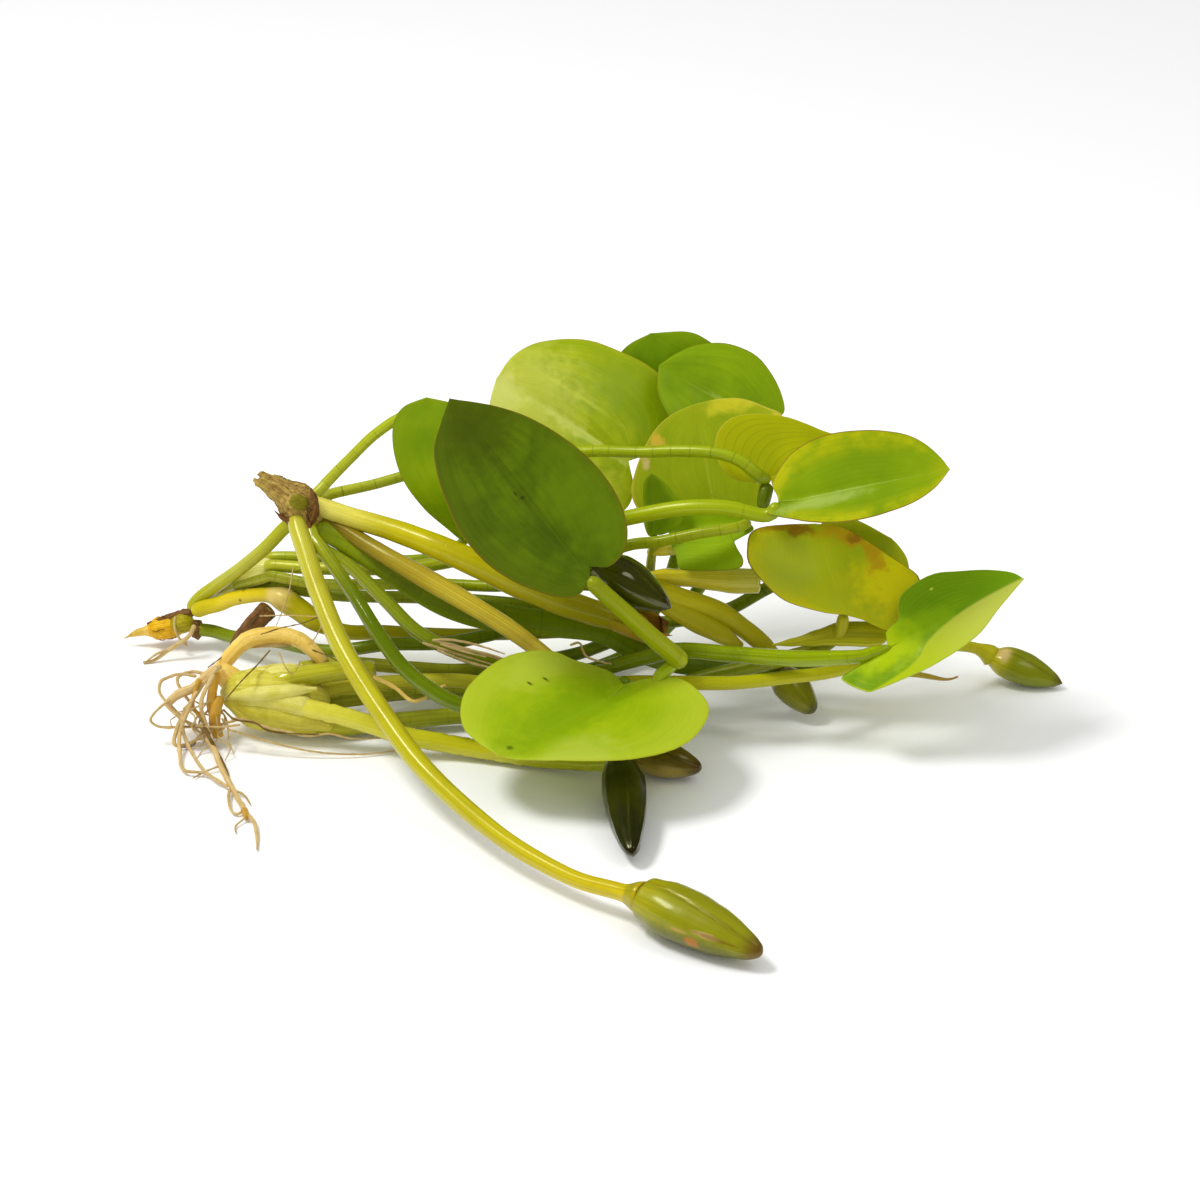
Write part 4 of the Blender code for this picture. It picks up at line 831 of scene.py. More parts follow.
addLeaf("leaf_orange_rim", dict(
    base=(24, 28, 37), tip=(20, 43, 60), width=30, face=(0, -0.8, 0.5), roll=20, plus=[(-0.1, 0.3),
    (-0.05, 0.7), (0.08, 1), (0.25, 1.12), (0.44, 1), (0.62, 0.8), (0.74, 0.6), (0.82, 0.36)],
    minus=[(-0.1, -0.25), (0, -0.62), (0.1, -0.65), (0.2, -0.72), (0.35, -0.95), (0.55, -1.12),
    (0.68, -1.12), (0.76, -0.92), (0.85, -0.63), (0.88, -0.33)], end=(0.87, 0.05)),
    dict(yellowLeaf, light=(152, 168, 14), deep=(132, 154, 8), rimWide=0.04, rim=(196, 180, 60),
    edge=(166, 172, 24), edgeFrom=(0.75, 1.05), spots=[(0.62, 0.66, 0.1, 0.1, 2.6, (220, 178, 60), 0.75),
    (0.55, 0.85, 0.12, 0.06, 2.6, (222, 190, 130), 0.7), (0.82, -0.4, 0.07, 0.35, 1.6, (206, 198, 40), 0.8),
    (0.6, -1.05, 0.14, 0.1, 1.4, (206, 198, 50), 0.7)]))
addLeaf("leaf_rolled", dict(
    base=(34.5, 17.5, 50), tip=(55, 21, 56.5), width=27, face=(-0.1, -0.75, 0.65), roll=30,
    plus=[(-0.1, 0.03), (-0.18, 0.04), (-0.33, 0.2), (-0.39, 0.42), (-0.4, 0.63), (-0.37, 0.8),
    (-0.29, 0.98), (-0.14, 1.08), (0.06, 1.03), (0.32, 0.83), (0.49, 0.61), (0.63, 0.4), (0.8, 0.2)],
    minus=[(0, -0.2), (0.1, -0.45), (0.35, -0.5), (0.6, -0.45), (0.8, -0.3)], end=(0.95, 0)),
    dict(yellowLeaf, light=(170, 174, 3), deep=(156, 162, 2), veins=10.0, veinShow=0.35, shine=0.14, coat=0,
    vein=(124, 130, 4), rim=(184, 180, 40), edge=(166, 170, 6)))
addLeaf("leaf_right", dict(
    base=(35.5, 4.5, 50.5), tip=(69, 8, 57), width=22, face=(-0.15, -0.55, 0.8), roll=40, plus=[(0, 0.15),
    (-0.01, 0.35), (0.04, 0.6), (0.16, 0.93), (0.36, 1.1), (0.6, 1.02), (0.8, 0.79), (0.91, 0.5),
    (0.98, 0.15)], minus=[(-0.06, -0.1), (-0.07, -0.22), (0.05, -0.46), (0.17, -0.67), (0.3, -0.8),
    (0.45, -0.84), (0.63, -0.77), (0.77, -0.65), (0.9, -0.43)], end=(1.01, -0.11), groove=(0.9, 1.8)),
    dict(midLeaf, light=(132, 158, 3), deep=(112, 142, 3), edge=(178, 178, 4), edgeFrom=(0.45, 0.95),
    edgeRagged=True, rim=(130, 80, 24), rimWide=0.025, ribShow=0.6, rough=0.32, coat=0.1,
    # the pale patch beside the midrib near the stalk is painted sheen
    rib=(176, 200, 90), spots=[(0.25, -0.18, 0.26, 0.16, 1.4, (186, 204, 110), 0.4)]))
addLeaf("leaf_mottled", dict(
    base=(48.8, 3.6, 26), tip=(46.2, 16, 41.2), width=34, face=(0.05, -0.8, 0.6), roll=20, start=(0, -0.03),
    plus=[(0.01, 0.05), (0.07, 0.29), (0.22, 0.66), (0.45, 0.9), (0.64, 1.03), (0.8, 1.02), (0.94, 0.96),
    (1, 0.8), (1.01, 0.47)], minus=[(-0.08, -0.24), (-0.14, -0.34), (-0.22, -0.49), (-0.21, -0.56),
    (0, -0.8), (0.17, -0.95), (0.31, -0.96), (0.52, -0.72), (0.74, -0.44), (0.92, -0.15)], end=(0.99, 0.15),
    waves=(0.6, 3, 0)),
    dict(yellowLeaf, light=(168, 172, 10), deep=(156, 170, 18), speck=(190, 164, 10), speckShow=0.3,
    rim=(116, 80, 20), rimWide=0.025, edge=(190, 182, 6), edgeFrom=(0.6, 1.1), ribShow=0.15,
    spots=[(0.6, 0.55, 0.35, 0.4, 1.0, (150, 164, 44), 0.6),
    # the bright yellow patch on one side near the stalk is partly the blade's own yellow and partly painted
    # light that lifts the shade of the curved blade
    (0.3, -0.62, 0.36, 0.42, 1.4, (216, 206, 2), 0.8), (0.6, -0.5, 0.24, 0.14, 3.2, (182, 130, 18), 0.7),
    (0.82, -0.25, 0.14, 0.2, 3.2, (184, 138, 18), 0.75), (0.8, -0.3, 0.05, 0.1, 3.6, (130, 84, 20), 0.7),
    (0.9, -0.05, 0.1, 0.22, 2.8, (186, 150, 20), 0.7), (0.94, 0.36, 0.07, 0.2, 2.4, (134, 92, 14), 0.85),
    (0.99, 0.6, 0.05, 0.3, 1.6, (150, 96, 16), 0.7)]))
addLeaf("leaf_behind_right", dict(
    base=(45, 18.9, 32.3), tip=(62, 21.4, 38.3), width=22, face=(-0.1, -0.6, 0.8), roll=20, plus=[(0, 0.3),
    (0.15, 0.6), (0.35, 0.62), (0.52, 0.45)], minus=[(0, -0.3), (0.1, -0.8), (0.3, -1.15), (0.6, -1.25),
    (0.82, -1.1), (0.89, -0.75), (0.86, -0.4)], end=(0.82, -0.2)),
    dict(midLeaf, light=(166, 176, 4), deep=(146, 160, 4), edge=(170, 172, 6), rim=(150, 130, 24)))
creaseLine = [(0, -0.75), (0.23, -0.59), (0.34, -0.33), (0.55, -0.1), (0.72, -0.02), (1, 0.01)]
addLeaf("leaf_folded", dict(
    base=(53.5, -4, 21), tip=(85, 4, 34), width=20, face=(-0.35, -0.75, 0.55), roll=30, start=(0.12, -0.07),
    end=(1, -0.03), plus=[(0.14, 0.1), (0.16, 0.24), (0.25, 0.36), (0.29, 0.63), (0.34, 0.8), (0.45, 0.89),
    (0.56, 0.88), (0.68, 0.72), (0.85, 0.45), (0.96, 0.19)], minus=[(-0.03, -0.02), (-0.09, -0.22),
    (-0.2, -0.23), (-0.11, -0.75), (-0.03, -0.82), (0.16, -0.89), (0.36, -0.93), (0.59, -0.79),
    (0.79, -0.4)], crease=creaseLine),
    dict(brightLeaf, crease=creaseLine, light=(108, 150, 2), deep=(98, 140, 1), edge=(112, 152, 3),
    # the two strip colours are a painted sheen on the turned-up half of the blade
    rough=0.36, coat=0.05, ribShow=0.0, rim=(170, 184, 50), strip=((176, 192, 16), (188, 194, 76)),
    spots=[(0.1, -0.1, 0.24, 0.5, 1.0, (178, 200, 4), 0.85),
    (0.38, 0.05, 0.2, 0.3, 1.0, (134, 170, 2), 0.6), (0.5, 0.62, 0.012, 0.03, 1.0, (200, 206, 60), 0.8)]))
addLeaf("leaf_front", dict(
    base=(5, -7, 17), tip=(-19, -34, 13.5), width=47, face=(0, -0.17, 0.98), roll=20, start=(0.05, 0.05),
    end=(1, -0.03), minus=[(0, -0.1), (0.01, -0.24), (0.08, -0.46), (0.12, -0.65), (0.23, -0.79),
    (0.36, -0.87), (0.52, -0.88), (0.7, -0.83), (0.84, -0.7), (0.95, -0.5), (0.99, -0.28)],
    plus=[(-0.06, 0.1), (-0.14, 0.17), (-0.19, 0.35), (-0.17, 0.57), (-0.1, 0.79), (0, 0.92), (0.16, 1.02),
    (0.3, 1.05), (0.45, 0.99), (0.6, 0.85), (0.72, 0.66), (0.86, 0.36), (0.96, 0.12)], groove=(1.6, 4.5),
    waves=(0.8, 2.5, 0)),
    dict(brightLeaf, light=(156, 178, 12), deep=(140, 168, 6), edge=(172, 188, 40), rimShow=0.3,
    # the dark patch along the middle of the blade is painted shade in its valley, and the next two pale
    # patches are painted sheen
    veinShow=0.08, ribShow=0.12, streakShow=0.25, spots=[(0.45, 0, 0.5, 0.3, 1.2, (118, 152, 1), 0.7),
    (0.75, 0.5, 0.25, 0.3, 1.4, (186, 198, 80), 0.4), (0.3, -0.6, 0.25, 0.2, 1.4, (188, 200, 70), 0.4),
    (0.33, -0.45, 0.012, 0.05, 2.5, (40, 50, 10), 0.85), (0.42, -0.5, 0.01, 0.04, 2.5, (40, 50, 10), 0.85),
    (0.9, -0.05, 0.02, 0.03, 2.0, (60, 80, 14), 0.7)]))
addLeaf("leaf_small", dict(
    base=(11, 17.5, 37.5), tip=(9, 20, 50), width=11, face=(0, -0.8, 0.4), roll=20, plus=[(0, 0.2),
    (0.2, 0.3), (0.5, 0.22), (0.78, 0.12), (0.93, -0.04)], minus=[(-0.02, -0.3), (0.05, -0.8), (0.2, -1.2),
    (0.44, -1.2), (0.6, -1), (0.76, -0.78), (0.91, -0.5)], end=(0.99, -0.28), rows=40, columns=31),
    dict(midLeaf, light=(116, 144, 2), deep=(98, 126, 2)))
addLeaf("leaf_mid", dict(
    base=(30, 14, 42), tip=(14, 21.5, 38), width=19, face=(0, -0.8, 0.55), roll=20, plus=[(-0.07, 0.18),
    (0.09, 0.36), (0.2, 0.48), (0.12, 0.62), (0.03, 0.82), (0.06, 1.02), (0.3, 1.06), (0.6, 1.05), (0.8, 1),
    (0.86, 0.72), (0.95, 0.4)], minus=[(0, -0.2), (0.1, -0.35), (0.4, -0.4), (0.7, -0.35), (0.9, -0.2)],
    end=(1, 0.1)),
    dict(midLeaf, light=(148, 178, 2), deep=(124, 158, 2)))
print("leaf blades done")

# Flower buds. A profile gives (share of the length, share of the radius)

bluntProfile = [(0, 0.72), (0.03, 0.8), (0.1, 0.9), (0.2, 0.98), (0.32, 1), (0.45, 0.97), (0.6, 0.86),
    (0.75, 0.69), (0.85, 0.53), (0.92, 0.4), (0.97, 0.27), (0.99, 0.15), (1, 0.04)]
pointedProfile = [(0, 0.45), (0.05, 0.6), (0.14, 0.84), (0.25, 0.97), (0.36, 1.0), (0.5, 0.95), (0.64, 0.8),
    (0.78, 0.58), (0.89, 0.36), (0.96, 0.18), (1, 0.04)]


def addBud(node, spec, look):
    addPiece(node, [budRings(**spec)], budMaterial, look)


addBud("bud_front", dict(
    base=(8, -75.2, 5.9), tip=(29, -91, 3.7), radius=5.0, profile=[(0, 0.66), (0.015, 0.8), (0.06, 0.86)]
    + bluntProfile[3:], turn=0.6),
    dict(base=(164, 158, 8), body=(142, 142, 6), stripe=(112, 112, 4), seam=(104, 84, 10),
    # the first spot, dark over the lower half of the bud, is painted shade
    tipColour=(104, 76, 20), rough=0.34, coat=0.2, spots=[(0.14, 0.5, 0.13, 0.6, 0.8, (84, 86, 2), 0.85),
    (0.22, 0.54, 0.04, 0.05, 2.4, (180, 106, 16), 0.85), (0.3, 0.62, 0.02, 0.1, 2.2, (214, 176, 120), 0.7),
    (0.27, 0.42, 0.015, 0.08, 2.2, (206, 150, 80), 0.6), (0.3, 0.7, 0.015, 0.2, 2.0, (110, 70, 14), 0.6)]))
addBud("bud_dark", dict(
    base=(4, -22.5, 5.4), tip=(6, -54.4, 3.4), radius=4.1, profile=bluntProfile, turn=0.2, ridge=0.25),
    dict(base=(54, 60, 3), body=(34, 38, 1), stripe=(20, 22, 0), seam=(90, 92, 20), tipColour=(30, 24, 4),
    seamWide=0.04, seamShow=0.4, tipFrom=0.9))
addBud("bud_brown", dict(
    base=(7.4, -15.5, 4.6), tip=(20.2, -19, 3), radius=3.6, profile=bluntProfile, turn=1.0),
    dict(base=(150, 128, 40), body=(96, 80, 12), stripe=(66, 52, 6), seam=(50, 36, 8),
    tipColour=(66, 42, 12), spots=[(0.16, 0.4, 0.12, 0.5, 0.8, (168, 146, 60), 0.85)]))
addBud("bud_olive", dict(
    base=(37, 11.6, 8.6), tip=(44, 5.6, 3), radius=3.5, profile=bluntProfile, turn=0.4),
    dict(base=(150, 136, 20), body=(116, 116, 8), stripe=(84, 86, 4), seam=(64, 58, 8),
    tipColour=(64, 60, 8)))
addBud("bud_right", dict(
    base=(82, 26, 5.7), tip=(97, 22, 1.4), radius=3.4, profile=pointedProfile, turn=0.8),
    dict(base=(196, 184, 30), body=(126, 132, 5), stripe=(100, 108, 3), seam=(92, 84, 10),
    # the pale pink spot near the base is a painted highlight
    tipColour=(84, 78, 8), spots=[(0.42, 0.16, 0.1, 0.1, 1.0, (224, 190, 130), 0.7)]))
addBud("bud_glossy", dict(
    base=(-1.2, 1, 37.8), tip=(14.2, -2, 30.2), radius=4.9, profile=pointedProfile, turn=0.5),
    dict(base=(84, 86, 8), body=(58, 62, 3), stripe=(32, 30, 1), seam=(30, 26, 2), tipColour=(40, 26, 4),
    seamWide=0.04, rough=0.12, coat=0.8))
print("buds done")

# Crowns and roots. A tone picks the colours and the gloss: (light, dark, roughness)

woodLooks = [((196, 168, 84), (124, 92, 38), 0.6), ((140, 132, 20), (104, 96, 12), 0.45),
    ((214, 178, 106), (170, 124, 56), 0.6), ((140, 92, 48), (76, 44, 20), 0.45)]
budLooks = [((240, 190, 20), (210, 148, 8), 0.25), ((150, 106, 56), (84, 52, 22), 0.55),
    ((184, 170, 20), (150, 140, 10), 0.3), ((250, 214, 110), (226, 178, 60), 0.4)]
paleLooks = [((216, 206, 84), (184, 172, 34), 0.3), ((228, 220, 130), (200, 192, 60), 0.3)]
rootLooks = [((246, 218, 156), (226, 186, 112), 0.5), ((160, 124, 66), (110, 80, 38), 0.5),
    ((255, 222, 124), (246, 202, 88), 0.35), ((232, 184, 76), (204, 150, 46), 0.3)]


def threadsOn(spec, count, seed, size, tone, low=0.0, high=1.0, lift=0.15):
    # Thin threads that run along a stem's skin, each round its own side of it and a little off it
    chance = np.random.default_rng(seed)
    line = smoothLine(spec["route"])
    threads = []
    for unused in range(count):
        begin = low + (high - low) * chance.uniform(0, 0.5)
        share = np.linspace(begin, min(high, begin + (high - low) * chance.uniform(0.3, 0.7)), 6)
        centre = placesAlong(line, share * line[1][-1])
        tangent, sideways, upward = carriedAxes(centre)
        angle = (chance.uniform(0, 2 * math.pi) + np.cumsum(chance.normal(0, 0.14, 6)))[:, None]
        radius = easedSteps(share, spec["radii"]) + lift * chance.uniform(-0.4, 1.4, 6)
        route = centre + radius[:, None] * (np.cos(angle) * sideways + np.sin(angle) * upward)
        wide = size * chance.uniform(0.6, 1.3)
        radii = (0.5 * wide, wide, 0.6 * wide)
        threads.append(dict(route=route, radii=radii, sides=7, spacing=0.6, tone=tone))
    return threads


def rootsFrom(routes):
    # A root for each route: start radius, end radius and tone are given with it
    return [dict(route=route, radii=(start, 0.8 * start + 0.2 * end, end), tone=tone, sides=10,
                 spacing=0.45, rough=(0.06, 1.6), seed=seed)
            for seed, (start, end, tone, route) in enumerate(routes, 1)]


def addTones(node, slotName, looks, specs, **settings):
    grids = [stemRings(**spec) for spec in specs]
    addPiece(node, grids, toneMaterial, dict(looks=looks, **settings))


upperStock = dict(route=[(-69.6, 26, 46.2), (-66, 26, 44), (-62, 26, 40.5), (-60, 25.5, 37),
    (-58.6, 25, 34)], radii=(1.7, 2.5, 4.0, 3.9, 1.5), blunt=(0.15, 1), rough=(0.3, 1.7), sides=56,
    ribs=(13, 0.03), spacing=0.3, ragged=(1.1, 0), hollow=(1.6, 0))
addTones("crown_upper", "crown_brown", woodLooks, [upperStock, dict(route=[(-62.1, 23.4, 42.1),
    (-61.7, 21.9, 42.8)], radii=(2.4, 2.3), blunt=(0.3, 0.35), tone=0, flat=0.85, spacing=0.3,
    rough=(0.16, 1.2)), dict(route=[(-61.8, 22.8, 42.5), (-61.5, 21.5, 43)], radii=(2.0, 1.9),
    blunt=(0.3, 0.3), tone=1, spacing=0.3, flat=0.82, rough=(0.08, 1.5)), dict(route=[(-59.2, 23, 45.6),
    (-58.2, 22.4, 43), (-58.4, 22.2, 40), (-59.6, 22, 37.6)], radii=(0.4, 1.0, 1.2, 1.0), tone=3,
    rough=(0.25, 1.3), flat=0.6, spacing=0.35), dict(route=[(-64.8, 23.4, 38.4), (-62.6, 22.1, 38.2),
    (-60.2, 21.8, 37), (-58.4, 22.2, 35)], radii=(0.5, 1.3, 1.6, 0.8), tone=3, rough=(0.3, 1.4),
    spacing=0.35), dict(route=[(-60.2, 23.2, 36), (-58.9, 22.6, 34), (-58.3, 22.2, 31.6)],
    radii=(1.5, 1.0, 0.15), tone=3, rough=(0.2, 1.4), ribs=(6, 0.08)), dict(route=[(-66.6, 23.2, 40.2),
    (-65, 22.8, 38.8), (-63, 22.4, 38.4)], radii=(0.2, 0.9, 0.8), flat=0.5, tone=3, ragged=(0.5, 0),
    rough=(0.15, 2))] + threadsOn(upperStock, 34, 11, 0.13, 2, 0.0, 0.8) + threadsOn(upperStock, 22, 12,
    0.12, 3, 0.1, 1.0), grainSize=0.9, bump=0.5)
leftStock = dict(route=[(-97.8, 43, 3.8), (-94.6, 43, 4.2), (-91.5, 43, 4.8), (-89, 43, 5)],
    radii=(1.3, 2.5, 2.5, 1.8), rough=(0.16, 2.0), sides=40, spacing=0.35)
addTones("crown_left", "crown_brown", budLooks, [
    dict(route=[(-102.6, 43, 1.8), (-99.5, 43, 3.2), (-95, 43, 4.1)], radii=(0.1, 0.9, 2.0), tone=3,
    rough=(0.1, 2)), leftStock, dict(route=[(-97.5, 43, 5.3), (-94, 43, 6.4), (-90.5, 43, 7.4),
    (-87.5, 43, 8)], radii=(0.3, 0.9, 1.3, 1.7), tone=1, rough=(0.3, 1.4), flat=0.7, sides=36, spacing=0.35,
    ragged=(0, 0.8), hollow=(0, 1)), dict(route=[(-92.5, 42, 5.2), (-89.5, 41.8, 6), (-87, 41.7, 6.4)],
    radii=(1.6, 2.2, 1.8), tone=2), dict(route=[(-88.4, 42.4, 4.2), (-85, 42, 4.6)], radii=(1.9, 2.3, 2.0),
    tone=1, rough=(0.3, 2), spacing=0.4, sides=36)] + threadsOn(leftStock, 14, 21, 0.15, 1, 0.1, 1.0, 0.25),
    grainSize=1.4)
leekRoutes = [((1.2, 4.2, 5.3, 5.5, 4.8, 3.2), [(-77.5, 3.5, 8.4), (-73, 3.5, 8.8), (-66, 3, 8.4),
    (-57, 3, 7.6)], 0), ((0.8, 3.4, 4.6, 4.2, 3.0), [(-77, 3, 8), (-71, 3, 8), (-62, 3, 7.5), (-55, 3, 7)],
    0), ((0.8, 2.7, 2.8, 2.3), [(-76, 4, 9.4), (-70, 4, 11), (-63, 3.5, 12.3), (-60, 3, 12.5)], 1),
    ((0.8, 2.4, 2.3, 1.5), [(-76, 5, 8.5), (-70, 7, 10), (-62, 8, 11.3)], 0), ((0.8, 2.7, 2.6, 2.1),
    [(-76.4, 2, 8.3), (-70, 0.5, 8.8), (-64, -1.3, 9), (-58, -3.6, 8.4)], 1), ((0.8, 2.9, 2.9, 2.1),
    [(-76.6, 2, 7.4), (-70, 0.5, 5), (-63, 0, 4), (-56, 0, 3.2)], 0), ((0.8, 2.3, 2.4, 1.2), [(-76, 2, 7.6),
    (-69, -1, 6.5), (-61, -2.5, 5.8), (-54, -4, 4.6)], 0), ((0.8, 2.5, 2.3, 1.8), [(-75, 4, 7),
    (-66, 5.5, 6.5), (-58, 6, 5.5)], 0), ((0.8, 1.6, 1.5, 0.4), [(-75, 0, 9.4), (-70, -1.4, 10.6),
    (-64, -2, 11.4), (-57, -1.6, 12)], 1)]
addTones("crown_main", "crown_pale", paleLooks, [
    dict(route=route, radii=radii, tone=tone, sides=80, spacing=0.6, ribs=(20, 0.014))
    for radii, route, tone in leekRoutes], grainSize=3.0, bump=0.3, stripes=14.0)
addTones("dead_stub", "crown_brown", woodLooks, [
    dict(route=[(-77.6, 27, 7.4), (-76, 27, 9.4), (-72.5, 27, 13), (-69.3, 27, 16.3)],
    radii=(0.7, 1.6, 2.0, 2.1), blunt=(1, 0.12), hollow=(0, 0.7), rough=(0.14, 2), tone=3, sides=40,
    spacing=0.4), dict(route=[(-70.4, 27, 15.2), (-69.2, 27, 16.2)], radii=(1.2, 1.15), blunt=(0.3, 0.3),
    tone=0)])
addTones("rhizome_tip", "root_tan", [rootLooks[2], rootLooks[0]], [
    dict(route=[(-79, 9, 10), (-77, 10, 12), (-75, 10.5, 14.5), (-72, 12, 16.5), (-67, 13, 17),
    (-62, 12, 16.5), (-58.5, 10, 14.5), (-56.6, 9, 12.5)], radii=(1.3, 1.5, 1.75, 1.75, 1.6, 1.25),
    rough=(0.08, 2), ragged=(0, 0.7), blunt=(1, 0.3), ribs=(6, 0.03)), dict(route=[(-79, 5, 13),
    (-77.5, 5.5, 12.2), (-75.5, 6, 10.4), (-73.5, 5.5, 9)], radii=(1.0, 2.3, 2.6, 1.2)),
    dict(route=[(-72, 11.3, 14.9), (-68, 11.8, 15.3), (-63.5, 11.5, 15.2)], radii=(0.2, 0.5, 0.2), tone=1)])
addTones("root_stub", "root_amber", [rootLooks[3]], [
    dict(route=[(-77, 1, 9), (-77.8, -0.6, 7.4), (-78.2, -2.2, 5), (-77.4, -3.6, 1.8)],
    radii=(1.1, 1.2, 1.1), blunt=(1, 0.15), rough=(0.06, 2))])

tangleRoots = [(0.9, 1.0, 0, [(-88, 0, 7.5), (-85.5, 0, 10), (-82.5, 1, 11), (-80, 2, 13),
    (-77.5, 3, 14.5)]), (0.8, 0.7, 0, [(-88, 2, 7.5), (-85, 2, 9), (-82.5, 2, 10)]), (1.0, 0.8, 3,
    [(-78, 3, 14), (-78.5, 1, 11), (-79, 0, 8), (-78.5, -1, 5), (-78.5, -2, 3)]), (0.5, 0.25, 0,
    [(-77, 4, 14.5), (-80, 1, 12.5), (-82, -1, 10), (-84.5, -3, 6.5), (-86, -4, 3), (-86, -6, 1.5),
    (-84, -5, 1), (-82, -5, 2), (-79, -4, 3.5)]), (0.45, 0.25, 0, [(-77.5, 2, 15), (-81, 0, 11.5),
    (-82, -2, 10.5), (-83.5, -4, 7.5), (-85, -5, 3.5), (-84.5, -10, 1), (-83, -16, 1), (-78.5, -17.5, 1),
    (-73.5, -23, 1)]), (0.4, 0.2, 0, [(-82.5, -2, 9.5), (-84.5, -4, 6), (-83.5, -6, 2), (-80, -14, 1),
    (-76, -20.5, 1), (-72.5, -23, 1)]), (0.5, 0.3, 3, [(-81, 0, 13.5), (-82.5, -2, 8.5), (-80.5, -3, 6),
    (-79.5, -4, 3)]), (0.5, 0.3, 0, [(-78, 0, 14.5), (-80, -3, 11.5), (-80.5, -4, 9), (-80, -4, 6.5),
    (-79, -5, 4)]), (0.35, 0.25, 0, [(-82, 3, 12.5), (-85.5, 4, 12.5), (-88.5, 4, 11.5), (-89.5, 3, 11),
    (-89.5, 2, 9), (-87, 0, 7), (-83.5, -1, 3.5), (-80.5, -2, 1.5), (-79.5, -6.5, 2)]), (0.35, 0.25, 0,
    [(-80, 3, 13), (-82.5, 4, 13), (-85, 4, 12.5), (-86, 3, 11.5), (-84.5, 1, 9.5), (-82, -1, 6.5),
    (-80.5, -2, 4), (-79, -6, 2)]), (0.3, 0.25, 0, [(-85.5, 0, 10), (-88, -1, 8.5), (-90, -2, 7),
    (-91, -3, 5.5), (-89, -3, 4), (-84, -3, 4), (-79.5, -2, 3.5), (-75.5, -3, 5), (-72, -4, 6.5)]), (0.3,
    0.2, 0, [(-88.5, -1, 8.5), (-85.5, -3, 6.5), (-82, -4, 5), (-77.5, -5, 5), (-72.5, -6, 6)]), (0.15,
    0.12, 1, [(-71, 26, 15.5), (-73.5, 20, 15.5), (-75.5, 14, 14.5), (-77.5, 10, 13.5), (-80, 6, 13)]),
    (0.15, 0.12, 1, [(-67, 5, 17.5), (-69.5, 2, 15.5), (-72, -4, 15), (-75, -6, 12)]), (0.14, 0.1, 0,
    [(-62.5, 14, 32), (-63, 12, 29), (-64, 11, 25.5), (-66, 9, 21)]), (0.14, 0.1, 0, [(-70.5, 20, 18),
    (-64.5, 14, 21), (-57, 6, 24.5)]), (0.14, 0.1, 1, [(-56.5, 3, 26), (-60, 4, 24), (-64.5, 6, 22),
    (-69, 7, 20)]), (0.12, 0.1, 0, [(-56, 3, 24.5), (-57.5, 4, 21), (-59, 4, 19)]), (0.14, 0.1, 0,
    [(-65, 2, 18.5), (-63.5, 0, 16), (-62, 0, 14.5), (-60.5, 0, 17.5)]), (0.14, 0.1, 1, [(-58.5, 5, 17.5),
    (-55, 3, 17), (-52.5, 2, 16)])]
chance = np.random.default_rng(5)
for unused in range(14):  # short curled rootlets under the left end of the main crown
    start = np.array([-78.5, -1, 6]) + chance.uniform(-1, 1, 3) * (2.5, 2.5, 4)
    steps = np.cumsum(chance.normal((-0.5, -0.9, -0.9), (1.3, 1.1, 0.9), (5, 3)), axis=0)
    tangleRoots.append((0.2, 0.12, 0, np.vstack([start, start + steps])))
addTones("root_tangle", "root_tan", rootLooks, rootsFrom(tangleRoots))
addTones("root_trailing", "root_tan", rootLooks, rootsFrom([(0.6, 0.45, 0, [(-79.5, -5.5, 3),
    (-77.5, -9.5, 2), (-76, -14.5, 1.5), (-73, -22.5, 1), (-70.5, -29.5, 1), (-68.5, -34.5, 1)]), (0.4, 0.2,
    1, [(-80.5, -3.5, 5), (-78.5, -7.5, 3.5), (-77, -9.5, 1.5), (-75, -14.5, 1), (-74, -17.5, 0.5)]), (0.45,
    0.2, 0, [(-69, -34, 1), (-67, -37.5, 1), (-66, -42.5, 0.5), (-65.5, -47.5, 0.5)]), (0.3, 0.25, 0,
    [(-73, -23.5, 1), (-73, -27.5, 1), (-72, -32, 0.6), (-70.5, -33.5, 0.6), (-69.5, -31.5, 1),
    (-70, -29.5, 1)]), (0.7, 0.5, 3, [(-69.5, -32, 1), (-68.5, -36, 1)]), (0.25, 0.15, 0,
    [(-76, -14.5, 1.2), (-79, -16, 0.6), (-81, -18.5, 0.5)]), (0.25, 0.12, 0, [(-72.5, -24, 1),
    (-70, -26, 0.7), (-68.5, -29.5, 0.5)]), (0.22, 0.12, 0, [(-68.5, -35, 1), (-70.5, -38, 0.5),
    (-70.2, -41, 0.4)])]))
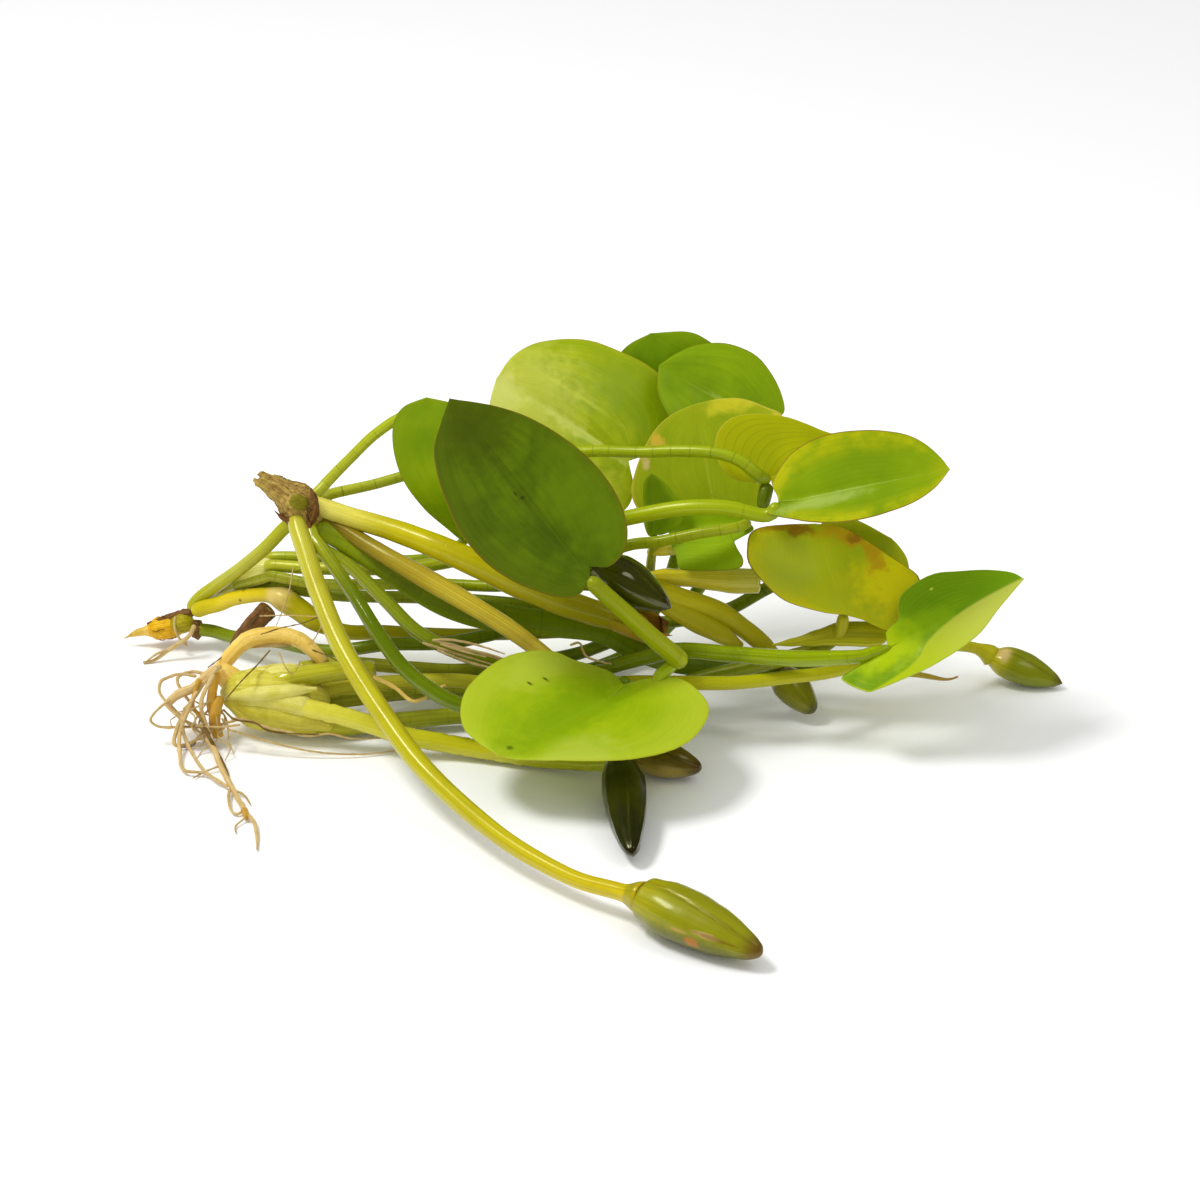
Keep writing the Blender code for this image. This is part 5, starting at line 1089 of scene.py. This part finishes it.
addTones("root_long", "root_tan", rootLooks, rootsFrom([(0.26, 0.16, 0, [(-74.5, -5, 7), (-71, -6, 7),
    (-67, -7, 6), (-63, -7, 5), (-59, -7, 4), (-54.5, -7, 4.5), (-50.5, -7, 3.5), (-44, -6, 3)]), (0.22,
    0.13, 1, [(-76, -5, 9), (-73.5, -6.5, 7.5), (-69.5, -7, 7), (-66, -7, 5), (-56.5, -7.5, 4.5)]), (0.22,
    0.13, 0, [(-75, -6, 5), (-66, -8, 3), (-57, -9, 1.4), (-48, -8.6, 0.7), (-40, -6.5, 0.6)]), (0.3, 0.14,
    0, [(-34, 4, 20.2), (-28, 3, 19), (-22, 2, 17.5), (-16, 1, 15.5)]), (0.26, 0.14, 0, [(-33, 3, 18.5),
    (-26, 2, 16), (-18, 1, 14.5)]), (0.26, 0.14, 0, [(-36, 4, 19.6), (-29, 3, 17.6), (-21, 2, 15.4)]),
    (0.27, 0.14, 0, [(-33.6, 4, 20.2), (-29.9, 3.4, 20.5), (-24.7, 2.6, 19.7), (-19.2, 1.6, 18.2)]), (0.25,
    0.14, 0, [(-31.2, 3, 19.3), (-26.3, 2.4, 18.7), (-21.8, 1.8, 17.9), (-18.2, 1, 16.9)]), (0.25, 0.14, 0,
    [(-32.3, 2, 20.3), (-27.9, 1.4, 19), (-23, 0.8, 17.9)]), (0.25, 0.18, 0, [(-6.1, 5, 18.6),
    (-4.1, 5, 19), (-3, 5, 16.3), (-1, 4, 15.7), (2.4, 4, 14.8)]), (0.4, 0.3, 2, [(-46, 0, 14),
    (-41.5, -2, 12.5), (-38, -5, 11), (-35.5, -5, 11.5), (-33, -4, 13), (-31, -4, 14)])]))
addTones("root_forked", "root_tan", rootLooks, rootsFrom([(0.5, 0.3, 0, [(-86.5, 38, 7.5), (-88, 37, 5),
    (-92, 36, 2.5), (-95, 35, 0.6), (-97.5, 34, 0.4)]), (0.3, 0.15, 0, [(-92, 36, 2.5), (-94.5, 35, 2),
    (-97, 34, 0.5)]), (0.3, 0.2, 0, [(-91, 41, 8), (-91, 39.5, 6), (-90, 38.5, 4), (-88.5, 38, 2.5),
    (-89, 38.5, 4)])]))
print("crowns and roots done")


# Floor, light and camera

floorMesh = bpy.data.meshes.new("floor")
reach = 3  # metres each way
corners = [(-reach, -reach, 0), (reach, -reach, 0), (reach, reach, 0), (-reach, reach, 0)]
floorMesh.from_pydata(corners, [], [(0, 1, 2, 3)])
floor = bpy.data.objects.new("floor", floorMesh)
bpy.context.collection.objects.link(floor)
floorMaterial = bpy.data.materials.new("floorWhite")
floorMaterial.use_nodes = True
floorTree = floorMaterial.node_tree
fillSockets(floorTree, floorTree.nodes["Principled BSDF"], {
    "Base Color": (0.98, 0.98, 0.98, 1), "Roughness": 0.9, "Specular IOR Level": 0.1})
floorMesh.materials.append(floorMaterial)

# The room is an even white, and darker where gloss mirrors it, so that the wet skins keep their colour
studio = {"room": 0.72, "mirrored": 0.06, "keyPower": 4.7, "sidePower": 0.4}
world = bpy.data.worlds.new("studio")
world.use_nodes = True
worldTree = world.node_tree
glossy = addNode(worldTree, "LightPath").outputs["Is Glossy Ray"]
strength = timesPlus(worldTree, glossy, studio["mirrored"] - studio["room"], studio["room"])
fillSockets(worldTree, worldTree.nodes["Background"], {"Color": (1, 1, 1, 1), "Strength": strength})
bpy.context.scene.world = world


def addLamp(name, place, aim, size, power):
    lamp = bpy.data.lights.new(name, "AREA")
    lamp.shape = "ELLIPSE"
    lamp.size, lamp.size_y = size
    lamp.energy = power
    made = bpy.data.objects.new(name, lamp)
    place, aim = np.array(place), np.array(aim)
    made.location = place
    direction = aim - place
    made.rotation_euler = (math.atan2(math.hypot(direction[0], direction[1]), -direction[2]), 0,
                           math.atan2(direction[1], direction[0]) - math.pi / 2)
    bpy.context.collection.objects.link(made)


lampAim = (0, 0.02, 0.03)
addLamp("keyLamp", (-0.45, 0.0, 0.8), lampAim, (0.34, 0.24), studio["keyPower"])
addLamp("sideLamp", (0.45, -0.2, 0.75), lampAim, (0.3, 0.2), studio["sidePower"])

bpy.context.scene.view_settings.view_transform = "Standard"
bpy.context.scene.view_settings.look = "None"

camera = bpy.data.objects.new("camera", bpy.data.cameras.new("camera"))
camera.data.lens = 100
camera.data.sensor_width = 36
elevation = math.radians(25)
distance = 0.667
aimX, aimY, aimZ = 0.0033, 0.017, 0.031  # the middle of the plant, in metres
camera.location = (aimX, aimY - distance * math.cos(elevation), aimZ + distance * math.sin(elevation))
camera.rotation_euler = (math.pi / 2 - elevation, 0, 0)
camera.data.clip_start = 0.01
bpy.context.collection.objects.link(camera)
bpy.context.scene.camera = camera
print("floor, light and camera done")
